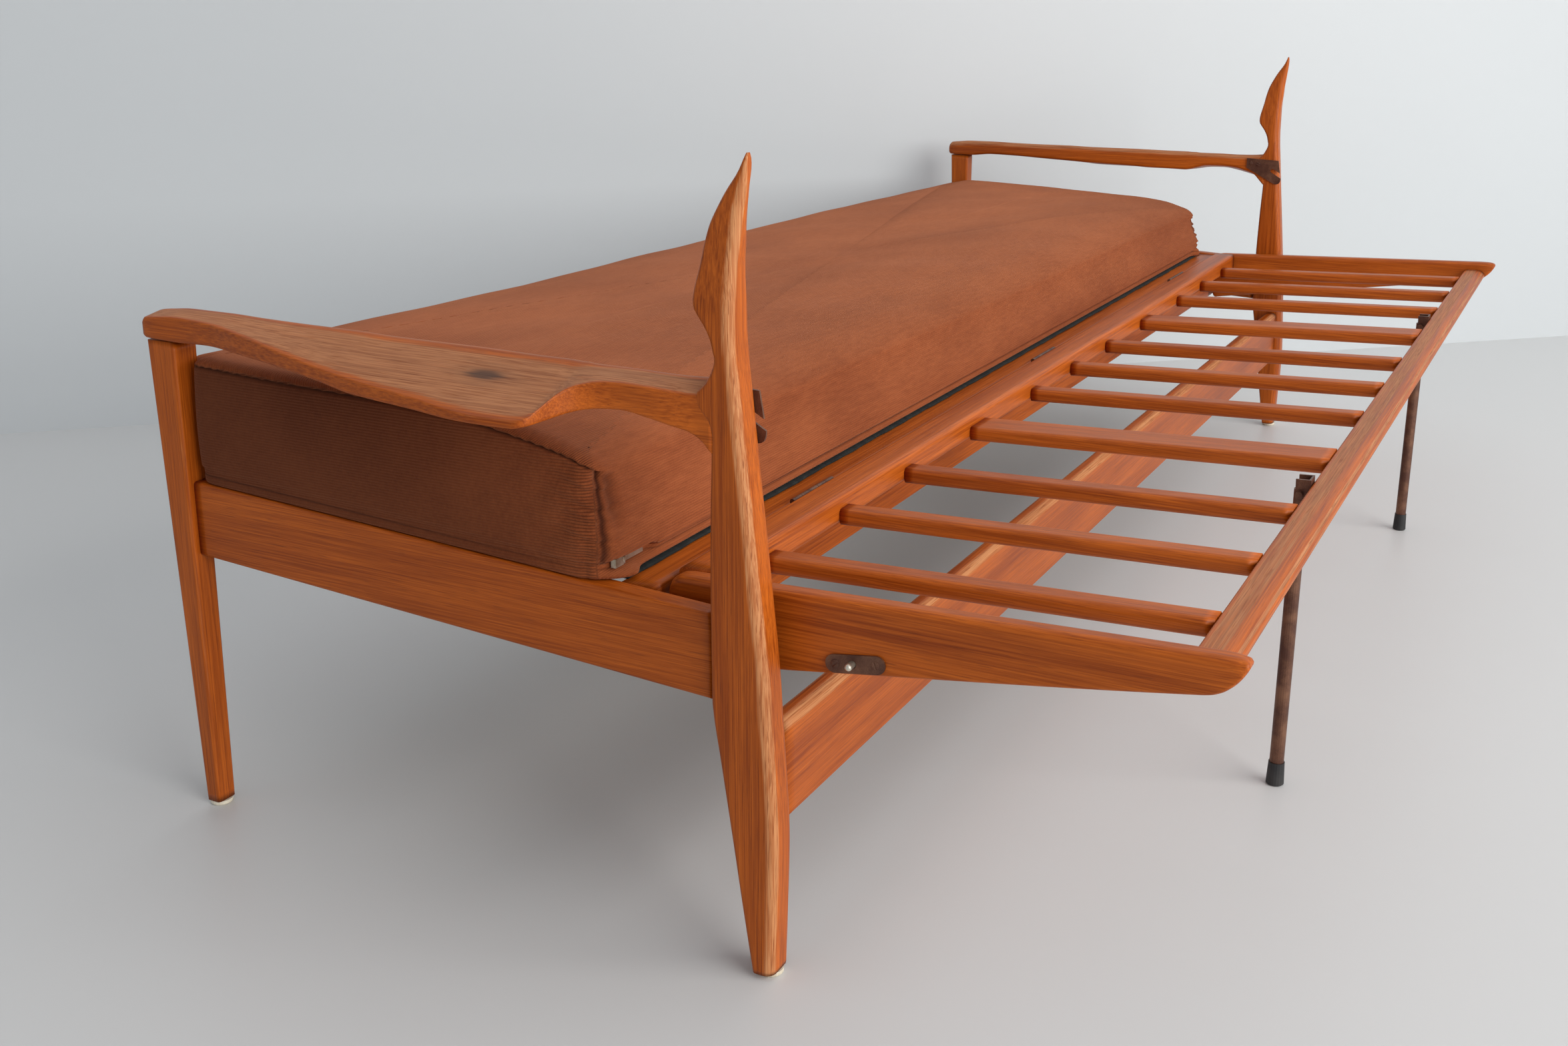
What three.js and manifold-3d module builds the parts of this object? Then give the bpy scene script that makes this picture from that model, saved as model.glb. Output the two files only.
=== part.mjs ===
// A daybed in hardwood: two end frames with open arms and tall back posts carry a raked seat
// with one long mattress. A slatted back is hinged behind the seat. It lies open on two
// fold-out legs, as here, or folds up to the back posts, where catches hold it.
// Millimetres, +X along the daybed, -Y to the front, +Z up. The origin is on the floor in the
// middle of the whole.
import * as THREE from "three";
import { mergeVertices } from "three/addons/utils/BufferGeometryUtils.js";
import Module from "manifold-3d";

const wasm = await Module();
wasm.setup();

// The whole
const frameLength = 2100; // over the outer faces of the end frames
const frameDepth = 686; // from the front legs' front faces to the back posts' heels
const armHeight = 525;
const seatHeight = 354; // of the end rails' top edges at the front legs
const seatRake = 2.8; // degrees that the seat falls to the back
const hingeSetback = 131; // of the hinge axis, in front of the back posts' heels
const backDepth = 495.5; // of the hinged back, from the hinge axis to its outer tips
const backTilt = 2.1; // degrees that the opened back rises outward
const backFold = 73; // degrees from open to caught
const seam = 0.3; // between pieces that touch
const overrun = 5; // by which a cut runs past what it cuts

// Back posts
const postHeight = 700.5;
const postThickness = 34;
const postReach = 69.5; // of the shoulder's swell in front of the heel
const postFrontRadius = 3;
const postBackRadius = 8;
const postTipLean = 3; // of the tip, in from the middle of the thickness
// Height above the foot, front and back as shares of the reach, and thickness
const postShares = [
  [0, 0.272, -0.011, 1],
  [0.0784, 0.396, -0.036, 1],
  [0.1754, 0.54, -0.058, 1],
  [0.2803, 0.701, -0.007, 1],
  [0.3348, 0.786, 0.032, 1],
  [0.3546, 0.803, 0.043, 1],
  [0.3882, 0.806, 0.065, 1],
  [0.4813, 0.81, 0.158, 1],
  [0.5892, 0.793, 0.273, 1],
  [0.6545, 0.772, 0.345, 1],
  [0.7634, 0.712, 0.46, 1],
  [0.7802, 0.741, 0.475, 1],
  [0.7921, 0.77, 0.483, 1],
  [0.807, 0.843, 0.489, 0.99],
  [0.8198, 0.935, 0.489, 0.98],
  [0.8278, 0.987, 0.489, 0.96],
  [0.8357, 1, 0.489, 0.95],
  [0.8456, 0.993, 0.489, 0.91],
  [0.8584, 0.967, 0.489, 0.86],
  [0.8782, 0.921, 0.482, 0.78],
  [0.901, 0.878, 0.46, 0.69],
  [0.9218, 0.82, 0.446, 0.62],
  [0.9406, 0.734, 0.424, 0.54],
  [0.9594, 0.633, 0.403, 0.45],
  [0.9733, 0.54, 0.391, 0.39],
  [0.9852, 0.469, 0.384, 0.34],
  [0.9931, 0.437, 0.383, 0.26],
  [1, 0.416, 0.39, 0.12],
];

// Front legs and glides
const legDepth = 36;
const legWidth = 30;
const legFootDepth = 18;
const legFootWidth = 23;
const legFootSetback = 15;
const legRadius = 3;
const glideHeight = 5;
const glideRadius = 11.5;
const glideEdge = 1.5;

// Arms
const armNose = 4; // past the front legs' front faces
const armThickness = 28;
const armSeatShare = 1.03; // of the thickness, down to where an arm rests on its leg
const padReach = 62; // of the broad pad, out past the end frame
const armCrestReach = 14; // of the crest line, out from the inner side
const armCrestRadius = 10;
const armEdgeRadius = 2.5;
const armInnerRadius = 6;
// Place along the arm, inner side and outer side as shares of the pad's reach, then the drops
// of crest, outer top, outer bottom and inner bottom as shares of the thickness
const armShares = [
  [0.0, 0.048, -0.016, 0.29, 0.39, 0.93, 0.93],
  [0.006, 0.023, 0.0, 0.14, 0.26, 0.98, 0.98],
  [0.031, 0, 0.016, 0.07, 0.2, 1, 1],
  [0.071, 0, 0.016, 0, 0.14, 1.02, 1],
  [0.144, 0, 0.065, 0, 0.18, 0.96, 0.86],
  [0.215, 0, 0.194, 0.04, 0.32, 1.02, 0.89],
  [0.317, 0, 0.387, 0.07, 0.61, 1.14, 1],
  [0.393, 0, 0.516, 0.07, 0.84, 1.3, 1.07],
  [0.47, 0, 0.645, 0.11, 1, 1.5, 1.14],
  [0.599, 0, 0.839, 0.11, 1.18, 1.57, 1.23],
  [0.658, 0, 0.935, 0.12, 1.3, 1.61, 1.29],
  [0.716, 0, 1, 0.14, 1.34, 1.59, 1.3],
  [0.762, 0, 1, 0.14, 1.32, 1.57, 1.32],
  [0.782, 0, 0.935, 0.16, 1.25, 1.48, 1.25],
  [0.792, 0, 0.661, 0.16, 0.93, 1.41, 1.18],
  [0.803, 0, 0.419, 0.18, 0.62, 1.32, 1.11],
  [0.818, 0, 0.242, 0.18, 0.48, 1.25, 1],
  [0.839, 0, 0.145, 0.18, 0.39, 1.2, 0.96],
  [0.87, 0, 0.097, 0.18, 0.36, 1.18, 0.95],
  [0.909, 0, 0.081, 0.2, 0.39, 1.32, 1],
  [0.94, 0, 0.065, 0.2, 0.45, 1.48, 1.18],
  [0.964, 0, 0.032, 0.18, 0.5, 1.61, 1.36],
  [0.983, 0, 0.016, 0.14, 0.54, 1.82, 1.82],
  [0.993, 0, 0, 0.11, 0.46, 2.07, 2.07],
  [1, 0, 0, 0.11, 0.46, 2.2, 2.2],
];

// Seat
const railHeight = 77;
const railThickness = 22;
const railInset = 8; // of the end rails' outer faces, in from the end frames'
const railRadius = 4;
const frontRailInset = 8;
const hingeRailDepth = 32;
const hingeRailHeight = 76;
const hingeRise = 4; // of the hinge axis above the hinge rail
const hingeRailRadius = 6;
const seatSlatCount = 6;
const seatSlatWidth = 100;
const seatSlatThickness = 16;
const seatSlatRadius = 2;
const seatSlatSpanShare = 0.83; // of the half length, out to the last slat's middle
const ledgerDepth = 20;
const ledgerHeight = 25;
const underlayThickness = 3;
const underlayInset = 3; // of its ends, in from the end rails
const underlayLap = 6; // over the hinge rail
const stretcherInset = 8; // of its back face, in front of the heels
const stretcherDepth = 22;
const stretcherHeight = 91;
const stretcherBase = 134;
const stretcherRadius = 9;

// Mattress
const mattressInset = 10; // of its right end, in from the end frame's outer face
const mattressShort = 45; // of its left end, in from the other end frame's outer face
const mattressSetback = 171; // of its rear side, in front of the heels
const mattressHeight = 120;
const mattressOverhang = 1; // past the front legs' front faces
const mattressCorner = 12;
const mattressLegGap = 1.5; // of its notched right front corner, around the front leg
const mattressSwell = 3; // of the sides between their seams
const mattressCrown = 14;
const mattressSeamRise = 9; // of the lower seam
const zipRise = 14; // of the zip line, up the rear side
const zipSwell = 1; // of the side at the zip line
const mattressEdgeInset = 16;
const mattressEdgeRise = 8;
// Depth from the front, and height at the right end, in the middle and at the left end
const mattressTopShares = [
  [0, 0.83, 0.725, 0.62],
  [0.05, 0.94, 0.735, 0.67],
  [0.11, 0.985, 0.742, 0.72],
  [0.33, 0.995, 0.738, 0.738],
  [0.56, 1.015, 0.742, 0.742],
  [0.74, 0.99, 0.757, 0.757],
  [0.88, 0.935, 0.725, 0.725],
  [0.95, 0.88, 0.663, 0.663],
  [1, 0.79, 0.6, 0.6],
];
// Steps of the side from its seam up: height, then swell
const mattressSideShares = [
  [0.4, 0.8],
  [0.65, 1],
  [0.88, 0.5],
  [1, -0.2],
];
// Steps of the rounded top edge: inset, then rise
const mattressEdgeShares = [
  [0.38, 0.6],
  [1, 1],
];
const mattressCrownShares = [0.93, 0.8, 0.6, 0.35];
const mattressCrownPower = 3;
const mattressEndPower = 3.5; // of the change of height to its ends
const mattressUndersideShare = 0.25; // of the lower seam's rise, at the bottom's rounded edge
const zipInset = 22; // of the slider, in from the mattress's right end
const zipStandoff = 1.1; // of the slider, for the side's swell above the zip line
const sliderSize = [12, 5, 8];
const lugReach = 2.7;
const lugThickness = 1.2;
const lugDepth = 3;
const zipPinRadius = 0.8;
const zipPinClearance = 0.35;
const pullEyeRadius = 2.2;
const pullLength = 31;
const pullThickness = 1.2;

// Hinged back
const backRise = 4.5; // of the back frame's top above the hinge axis
const backEndThickness = 22;
const backEndDrop = 85.5; // of the end rails at the hinge, below their tops
const backEndGap = 14; // between the end rails and the back posts
const backEndRadius = 7;
const innerRailDepth = 39.5;
const innerRailThickness = 28;
const innerRailRadius = 6;
const outerRailDepth = 36.5;
const outerRailThickness = 19.5;
const outerRailDrop = 13; // of its top, below the end rails'
const outerRailInset = 12; // of its outer face, in from the end rails' tips
const outerRailFlatShare = 0.7;
const outerRailWaistShare = 0.46;
const outerRailSoleShare = 0.636; // of its depth, flat below
const outerRailRadii = [3, 8, 5, 12, 3];
const backSlatDrop = 12.5;
const backSlatThickness = 17;
const backSlatWidth = 27;
const backSlatRadius = 6;
// Middle from the middle of the back, on either side, and width
const backSlatShares = [
  [0, 1],
  [0.166, 1],
  [0.369, 2.06],
  [0.58, 1],
  [0.743, 1],
  [0.902, 1],
];
// Place along the end rail, drop of its top and of its bottom, and thickness
const backEndShares = [
  [0.0067, 0.21, 0.87, 0.6],
  [0.01, 0.12, 0.94, 0.8],
  [0.018, 0.05, 0.975, 0.95],
  [0.032, 0.01, 0.967, 1],
  [0.048, 0, 0.955, 1],
  [0.918, 0, 0.39, 1],
  [0.944, 0, 0.368, 1],
  [0.961, 0.002, 0.332, 0.99],
  [0.977, 0.006, 0.265, 0.96],
  [0.988, 0.014, 0.198, 0.9],
  [0.995, 0.028, 0.14, 0.8],
  [0.9985, 0.045, 0.105, 0.68],
  [1, 0.06, 0.085, 0.55],
];

// Hinges
const hingePlaceShares = [-0.729, 0, 0.729];
const hingeNames = ["left", "middle", "right"];
const hingeLength = 89;
const knuckleCount = 5;
const knuckleRadius = 3;
const hingePinRadius = 1.5;
const hingePinClearance = 0.3;
const leafThickness = 1.2;
const leafHeight = 22;

// Catches
const catchPlaceShare = 0.37; // of the back's depth, to the middle of the catch plate
const catchLength = 54;
const catchWidth = 16;
const catchThickness = 2;
const catchMargin = 10.6; // of its middle above the end rail's lower edge
const studSetback = 2.5; // from the plate's middle, to the hinge
const studRadius = 3.25;
const studLength = 19;
const studProud = 10.2; // of its tip, out of the plate
const studTravel = 5;
const studClearance = 0.3;
const hookThickness = 2.2;
const hookClearance = 0.45;
// Corners of the hook plate around its slot, clear of the mouth
const hookFront = 48;
const hookTop = 22;
const hookTopBack = 10;
const hookTopDrop = 3;
const hookBottomFront = 4;
const hookTailBack = 16;
const hookTailRise = 14; // of the tail's back corner, below the slot
const hookTailDrop = 24;
const hookTailRound = 6;

// Fold-out legs
const legPlaceShare = 0.487; // of the half length, to each leg's middle
const pivotGap = 11; // from the outer rail's inner face to the pivot
const pivotDrop = 24.5; // of the pivot, below the end rails' tops
const foldTubeRadius = 7.5;
const foldTubeHead = 3.5; // above the pivot
const pivotRadius = 3;
const pivotClearance = 0.3;
const pivotHeadRadius = 4;
const pivotHeadLength = 5;
const cheekThickness = 2.5;
const cheekClearance = 0.5;
const cheekDepth = 15;
const bracketHeight = 26;
const bracketBase = 2; // thickness of its plate against the rail
const bracketRise = 16; // above the pivot
const footHeight = 26;
const footRadius = 9.5;
const footTopRadius = 8.4;
const footFloor = 5;

// Fineness
const cornerSteps = 3;
const cornerWallShare = 0.48; // of a side, at most taken up by the rounding of one corner
const roundSides = 20;
const smallSides = 12;
const mattressCornerSteps = 5;
const mattressLongSteps = 13;
const mattressShortSteps = 4;

const materials = {
  teak: new THREE.MeshStandardMaterial({ color: 0xa85a26, roughness: 0.35, metalness: 0 }),
  deck: new THREE.MeshStandardMaterial({ color: 0xb98a5c, roughness: 0.7, metalness: 0 }),
  fabric: new THREE.MeshStandardMaterial({ color: 0xa5603f, roughness: 0.95, metalness: 0 }),
  underlay: new THREE.MeshStandardMaterial({ color: 0x1e2624, roughness: 0.9, metalness: 0 }),
  brownSteel: new THREE.MeshStandardMaterial({ color: 0x3a2620, roughness: 0.5, metalness: 0.6 }),
  paleSteel: new THREE.MeshStandardMaterial({ color: 0xb5a78e, roughness: 0.35, metalness: 0.9 }),
  rubber: new THREE.MeshStandardMaterial({ color: 0x191818, roughness: 0.7, metalness: 0 }),
  nylon: new THREE.MeshStandardMaterial({ color: 0xe6ddc8, roughness: 0.5, metalness: 0 }),
};

const frameHalf = frameLength / 2;
const postInner = frameHalf - postThickness;
const railOuter = frameHalf - railInset;
const railInner = railOuter - railThickness;
const postFoot = glideHeight + seam;
const legTop = armHeight - armThickness * armSeatShare - seam;
const rakeSlope = Math.tan(THREE.MathUtils.degToRad(seatRake));
const legBackFace = legDepth - frameDepth;
const hingeRailFront = -hingeSetback - hingeRailDepth - leafThickness - 2 * seam;
const frontRailBack = frontRailInset + railThickness - frameDepth;
const hingeRailTop = deckAt(hingeRailFront + underlayLap);
const hingeHeight = hingeRailTop + hingeRise;
const mattressDepth = frameDepth + mattressOverhang - mattressSetback;
const mattressLength = frameLength - mattressInset - mattressShort;
const mattressMiddleX = (mattressShort - mattressInset) / 2;
const tilt = THREE.MathUtils.degToRad(backTilt);

// Values of a table of shares, between its rows, at a place in its first column
function sharesAt(table, place) {
  const next = Math.max(1, table.findIndex((row) => row[0] >= place));
  const low = table[next - 1];
  const high = table[next];
  const share = (place - low[0]) / (high[0] - low[0]);
  return low.map((value, column) => THREE.MathUtils.lerp(value, high[column], share));
}

function postFrontAt(z) {
  const share = (z - postFoot) / (postHeight - postFoot);
  return -sharesAt(postShares, share)[1] * postReach;
}

function legShareAt(z) {
  return (z - postFoot) / (legTop - postFoot);
}

function legBackAt(z) {
  const share = legShareAt(z);
  const front = THREE.MathUtils.lerp(legFootSetback, 0, share) - frameDepth;
  return front + THREE.MathUtils.lerp(legFootDepth, legDepth, share);
}

function legInnerAt(z) {
  return frameHalf - THREE.MathUtils.lerp(legFootWidth, legWidth, legShareAt(z));
}

function seatTopAt(y) {
  return seatHeight - (y - legBackFace) * rakeSlope;
}

// The seat slats' tops: the pad on them is flush with the end rails
function deckAt(y) {
  return seatTopAt(y) - underlayThickness;
}

// A convex outline with its corners rounded, as pairs of numbers
function roundedRing(corners, radii, steps = cornerSteps) {
  const ring = [];
  corners.forEach((pair, index) => {
    const corner = new THREE.Vector2(...pair);
    const before = new THREE.Vector2(...corners.at(index - 1)).sub(corner);
    const after = new THREE.Vector2(...corners[(index + 1) % corners.length]).sub(corner);
    const halfAngle = Math.acos(before.dot(after) / before.length() / after.length()) / 2;
    const wall = cornerWallShare * Math.min(before.length(), after.length());
    const setback = Math.min(radii[index] / Math.tan(halfAngle), wall);
    const radius = setback * Math.tan(halfAngle);
    before.normalize();
    after.normalize();
    const inward = before.clone().add(after).normalize();
    const centre = corner.clone().addScaledVector(inward, radius / Math.sin(halfAngle));
    const arm = corner.clone().addScaledVector(before, setback).sub(centre);
    const turn = Math.sign(after.cross(before)) * (Math.PI - 2 * halfAngle);
    for (let step = 0; step <= steps; step++) {
      const spoke = arm.clone().rotateAround(new THREE.Vector2(), (turn * step) / steps);
      ring.push(centre.clone().add(spoke).toArray());
    }
  });
  return ring;
}

function evenRadii(radius, count = 4) {
  return Array(count).fill(radius);
}

function surface(points, faces) {
  let volume = 0;
  for (let i = 0; i < faces.length; i += 3) {
    const [a, b, c] = [points[faces[i]], points[faces[i + 1]], points[faces[i + 2]]];
    volume += a.dot(b.clone().cross(c));
  }
  if (volume < 0) faces.reverse();
  const geometry = new THREE.BufferGeometry().setFromPoints(points);
  geometry.setIndex(faces);
  geometry.computeVertexNormals();
  return geometry;
}

// A closed surface over rings with the same number of points
function loft(rings) {
  const count = rings[0].length;
  const last = (rings.length - 1) * count;
  const faces = [];
  for (let start = 0; start < last; start += count) {
    for (let i = 0; i < count; i++) {
      const a = start + i;
      const b = start + ((i + 1) % count);
      faces.push(a, b, b + count, a, b + count, a + count);
    }
  }
  for (let i = 1; i < count - 1; i++) {
    faces.push(0, i + 1, i, last, last + i, last + i + 1);
  }
  return surface(rings.flat(), faces);
}

// A bar along X, with an outline of (y, z) pairs and ends at endAt(y, z) on either side
function barAlongX(ring, endAt) {
  const end = (side) => ring.map(([y, z]) => new THREE.Vector3(side * endAt(y, z), y, z));
  return loft([end(-1), end(1)]);
}

function boxRing(left, right, bottom, top) {
  return [
    [left, bottom],
    [right, bottom],
    [right, top],
    [left, top],
  ];
}

function solidFrom(geometry) {
  const bare = geometry.clone();
  bare.deleteAttribute("normal");
  bare.deleteAttribute("uv");
  const merged = mergeVertices(bare);
  return new wasm.Manifold(
    new wasm.Mesh({
      numProp: 3,
      vertProperties: new Float32Array(merged.attributes.position.array),
      triVerts: new Uint32Array(merged.index.array),
    }),
  );
}

function geometryFrom(solid) {
  const mesh = solid.getMesh();
  const geometry = new THREE.BufferGeometry();
  geometry.setAttribute("position", new THREE.BufferAttribute(mesh.vertProperties, 3));
  geometry.setIndex(new THREE.BufferAttribute(mesh.triVerts, 1));
  geometry.computeVertexNormals();
  return geometry;
}

function joined(geometries) {
  const solids = geometries.map(solidFrom);
  return geometryFrom(solids.reduce((whole, solid) => whole.add(solid)));
}

function cut(geometry, tools) {
  const whole = solidFrom(geometry);
  return geometryFrom(tools.map(solidFrom).reduce((left, tool) => left.subtract(tool), whole));
}

function box(low, high) {
  const size = high.map((value, axis) => value - low[axis]);
  const middle = high.map((value, axis) => (value + low[axis]) / 2);
  return new THREE.BoxGeometry(...size).translate(...middle);
}

function rodAlongX(radius, from, to, y = 0, z = 0, sides = roundSides) {
  const rod = new THREE.CylinderGeometry(radius, radius, to - from, sides);
  return rod.rotateZ(Math.PI / 2).translate((from + to) / 2, y, z);
}

// A flat plate across X from an outline in (y, z)
function plateAcrossX(outline, thickness) {
  const plate = new THREE.ExtrudeGeometry(outline, {
    depth: thickness,
    bevelEnabled: false,
    curveSegments: smallSides,
  });
  const [x, y, z] = [[1, 0, 0], [0, 1, 0], [0, 0, 1]].map((axis) => new THREE.Vector3(...axis));
  return plate.applyMatrix4(new THREE.Matrix4().makeBasis(y, z, x));
}

function addMesh(group, name, geometry, material) {
  const mesh = new THREE.Mesh(geometry, material);
  mesh.name = name;
  group.add(mesh);
  return mesh;
}

function backPost() {
  const radii = [postFrontRadius, postFrontRadius, postBackRadius, postBackRadius];
  const rings = postShares.map(([height, front, back, width]) => {
    const z = THREE.MathUtils.lerp(postFoot, postHeight, height);
    const middle = (frameHalf + postInner) / 2 - postTipLean * (1 - width);
    const halfWidth = (postThickness * width) / 2;
    const corners = boxRing(
      middle - halfWidth,
      middle + halfWidth,
      -front * postReach,
      -back * postReach,
    );
    return roundedRing(corners, radii).map(([x, y]) => new THREE.Vector3(x, y, z));
  });
  return loft(rings);
}

function frontLeg() {
  const rings = [postFoot, legTop].map((z) => {
    const front = THREE.MathUtils.lerp(legFootSetback, 0, legShareAt(z)) - frameDepth;
    const corners = boxRing(legInnerAt(z), frameHalf, front, legBackAt(z));
    const ring = roundedRing(corners, evenRadii(legRadius));
    return ring.map(([x, y]) => new THREE.Vector3(x, y, z));
  });
  return loft(rings);
}

function glide(x, y) {
  const profile = [
    [0, 0],
    [glideRadius - glideEdge, 0],
    [glideRadius, glideEdge],
    [glideRadius, glideHeight],
    [0, glideHeight],
  ];
  const points = profile.map((pair) => new THREE.Vector2(...pair));
  return new THREE.LatheGeometry(points, roundSides).rotateX(Math.PI / 2).translate(x, y, 0);
}

function arm() {
  const front = -frameDepth - armNose;
  const back = postFrontAt(armHeight) - seam;
  const radii = [armInnerRadius, armEdgeRadius, armEdgeRadius, armCrestRadius];
  const rings = armShares.map(([place, inner, outer, ...drops]) => {
    const y = THREE.MathUtils.lerp(front, back, place);
    const left = postInner + inner * padReach;
    const right = frameHalf + outer * padReach;
    const [crest, outerTop, outerBottom, innerBottom] = drops.map(
      (drop) => armHeight - drop * armThickness,
    );
    const crestX = left + armCrestReach;
    const slope = (crest - outerTop) / (right - crestX);
    const corners = [
      [left, innerBottom],
      [right, outerBottom],
      [right, outerTop],
      [left, crest + slope * armCrestReach],
    ];
    return roundedRing(corners, radii).map(([x, z]) => {
      const meets = place === 1 ? postFrontAt(z) - seam : y;
      return new THREE.Vector3(x, meets, z);
    });
  });
  return loft(rings);
}

// An end rail runs into the post's depth and is trimmed to the post's front
function seatEndRail() {
  const ends = [
    { y: legBackFace, at: (z) => legBackAt(z) + seam },
    { y: -postReach / 2, at: () => -postReach / 2 },
  ];
  const rings = ends.map(({ y, at }) => {
    const top = seatTopAt(y);
    const corners = boxRing(railInner, railOuter, top - railHeight, top);
    const ring = roundedRing(corners, evenRadii(railRadius));
    return ring.map(([x, z]) => new THREE.Vector3(x, at(z), z));
  });
  return cut(loft(rings), [backPost().translate(0, -seam, 0)]);
}

function seatFrontRail() {
  const top = deckAt(frontRailBack);
  const corners = boxRing(
    frontRailBack - railThickness,
    frontRailBack,
    seatHeight - railHeight,
    top,
  );
  return barAlongX(roundedRing(corners, evenRadii(seatSlatRadius)), (y, z) => legInnerAt(z) - seam);
}

function seatHingeRail() {
  const corners = boxRing(
    hingeRailFront,
    hingeRailFront + hingeRailDepth,
    hingeRailTop - hingeRailHeight,
    hingeRailTop,
  );
  const radii = [seatSlatRadius, seatSlatRadius, hingeRailRadius, seatSlatRadius];
  return barAlongX(roundedRing(corners, radii), () => railInner - seam);
}

function backStretcher() {
  const back = -stretcherInset;
  const corners = boxRing(
    back - stretcherDepth,
    back,
    stretcherBase,
    stretcherBase + stretcherHeight,
  );
  const radii = [seatSlatRadius, seatSlatRadius, stretcherRadius, stretcherRadius];
  return barAlongX(roundedRing(corners, radii), () => postInner - seam);
}

function seatLedger(front) {
  const back = front + ledgerDepth;
  const drop = seatSlatThickness + seam;
  const corners = [
    [front, deckAt(front) - drop - ledgerHeight],
    [back, deckAt(back) - drop - ledgerHeight],
    [back, deckAt(back) - drop],
    [front, deckAt(front) - drop],
  ];
  return barAlongX(roundedRing(corners, evenRadii(seatSlatRadius)), () => railInner - seam);
}

function seatSlat(middle) {
  const rings = [frontRailBack + seam, hingeRailFront - seam].map((y) => {
    const corners = boxRing(
      middle - seatSlatWidth / 2,
      middle + seatSlatWidth / 2,
      deckAt(y) - seatSlatThickness,
      deckAt(y),
    );
    const ring = roundedRing(corners, evenRadii(seatSlatRadius));
    return ring.map(([x, z]) => new THREE.Vector3(x, y, z));
  });
  return loft(rings);
}

// A thin pad over the slats, whose back edge laps over the hinge rail
function seatUnderlay() {
  const ends = [frontRailBack - railThickness + seam, hingeRailFront + underlayLap];
  const outline = new THREE.Shape(
    [
      [ends[0], deckAt(ends[0]) + seam],
      [ends[1], deckAt(ends[1]) + seam],
      [ends[1], deckAt(ends[1]) + seam + underlayThickness],
      [ends[0], deckAt(ends[0]) + seam + underlayThickness],
    ].map((pair) => new THREE.Vector2(...pair)),
  );
  const half = railInner - underlayInset;
  return plateAcrossX(outline, 2 * half).translate(-half, 0, 0);
}

const mattressFront = -frameDepth - mattressOverhang;
const mattressMiddle = mattressFront + mattressDepth / 2;

function mattressBottomAt(y) {
  return deckAt(y) + underlayThickness + 2 * seam;
}

function mattressTopAt(x, y) {
  const depth = THREE.MathUtils.clamp((y - mattressFront) / mattressDepth, 0, 1);
  const length = THREE.MathUtils.clamp((x - mattressMiddleX) / mattressLength + 1 / 2, 0, 1);
  const [, right, middle, left] = sharesAt(mattressTopShares, depth);
  const bulge = (place) => 1 - Math.abs(2 * place - 1) ** mattressCrownPower;
  const crown = mattressCrown * bulge(depth) * bulge(length);
  const toRight = (right - middle) * length ** mattressEndPower;
  const toLeft = (left - middle) * (1 - length) ** mattressEndPower;
  return mattressBottomAt(y) + mattressHeight * (middle + toRight + toLeft) + crown;
}

// The mattress's outline in plan, as points of its core with their outward directions; the
// front leg's notch comes later
function mattressPlan() {
  const [endX, endY] = [mattressLength / 2 - mattressCorner, mattressDepth / 2 - mattressCorner];
  const cores = boxRing(-endX, endX, -endY, endY).map((pair) => new THREE.Vector2(...pair));
  const plan = [];
  cores.forEach((core, index) => {
    for (let step = 0; step <= mattressCornerSteps; step++) {
      const angle = Math.PI + (index + step / mattressCornerSteps) * (Math.PI / 2);
      plan.push({ core, out: new THREE.Vector2(Math.cos(angle), Math.sin(angle)) });
    }
    const next = cores[(index + 1) % cores.length];
    const { out } = plan.at(-1);
    const steps = index % 2 === 0 ? mattressLongSteps : mattressShortSteps;
    for (let step = 1; step < steps; step++) {
      plan.push({ core: core.clone().lerp(next, step / steps), out });
    }
  });
  return plan;
}

function mattress() {
  const plan = mattressPlan();
  const ring = (swell, heightAt, scale = 1) =>
    plan.map(({ core, out }) => {
      const place = core.clone().addScaledVector(out, mattressCorner + swell);
      const x = place.x * scale + mattressMiddleX;
      const y = place.y * scale + mattressMiddle;
      return new THREE.Vector3(x, y, heightAt(x, y));
    });
  const bottom = mattressBottomAt;
  const rings = [
    ring(-mattressEdgeInset, (x, y) => bottom(y)),
    ring(-mattressSwell, (x, y) => bottom(y) + mattressSeamRise * mattressUndersideShare),
    ring(0, (x, y) => bottom(y) + mattressSeamRise),
    ring(zipSwell, (x, y) => bottom(y) + zipRise),
  ];
  for (const [height, swell] of mattressSideShares) {
    const heightAt = (x, y) => THREE.MathUtils.lerp(bottom(y), mattressTopAt(x, y), height);
    rings.push(ring(swell * mattressSwell, heightAt));
  }
  const rise = (share) => (x, y) => mattressTopAt(x, y) + share * mattressEdgeRise;
  for (const [inset, height] of mattressEdgeShares) {
    rings.push(ring(-inset * mattressEdgeInset, rise(height)));
  }
  for (const scale of mattressCrownShares) {
    rings.push(ring(-mattressEdgeInset, rise(1), scale));
  }
  const notch = box(
    [frameHalf - legWidth - mattressLegGap, mattressFront - mattressSwell - overrun, 0],
    [frameHalf, legBackFace + mattressLegGap, armHeight],
  );
  return cut(loft(rings), [notch]);
}

// The slider's middle against the mattress's rear side, at the zip line
const [sliderLength, sliderDepth, sliderHeight] = sliderSize;
const sliderX = mattressMiddleX + mattressLength / 2 - zipInset;
const zipFace = mattressFront + mattressDepth + zipSwell + zipStandoff;
const zipY = zipFace + sliderDepth / 2;
const zipZ = mattressBottomAt(mattressFront + mattressDepth) + zipRise;
const zipPinX = sliderX - sliderLength / 2 - lugReach;

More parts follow.
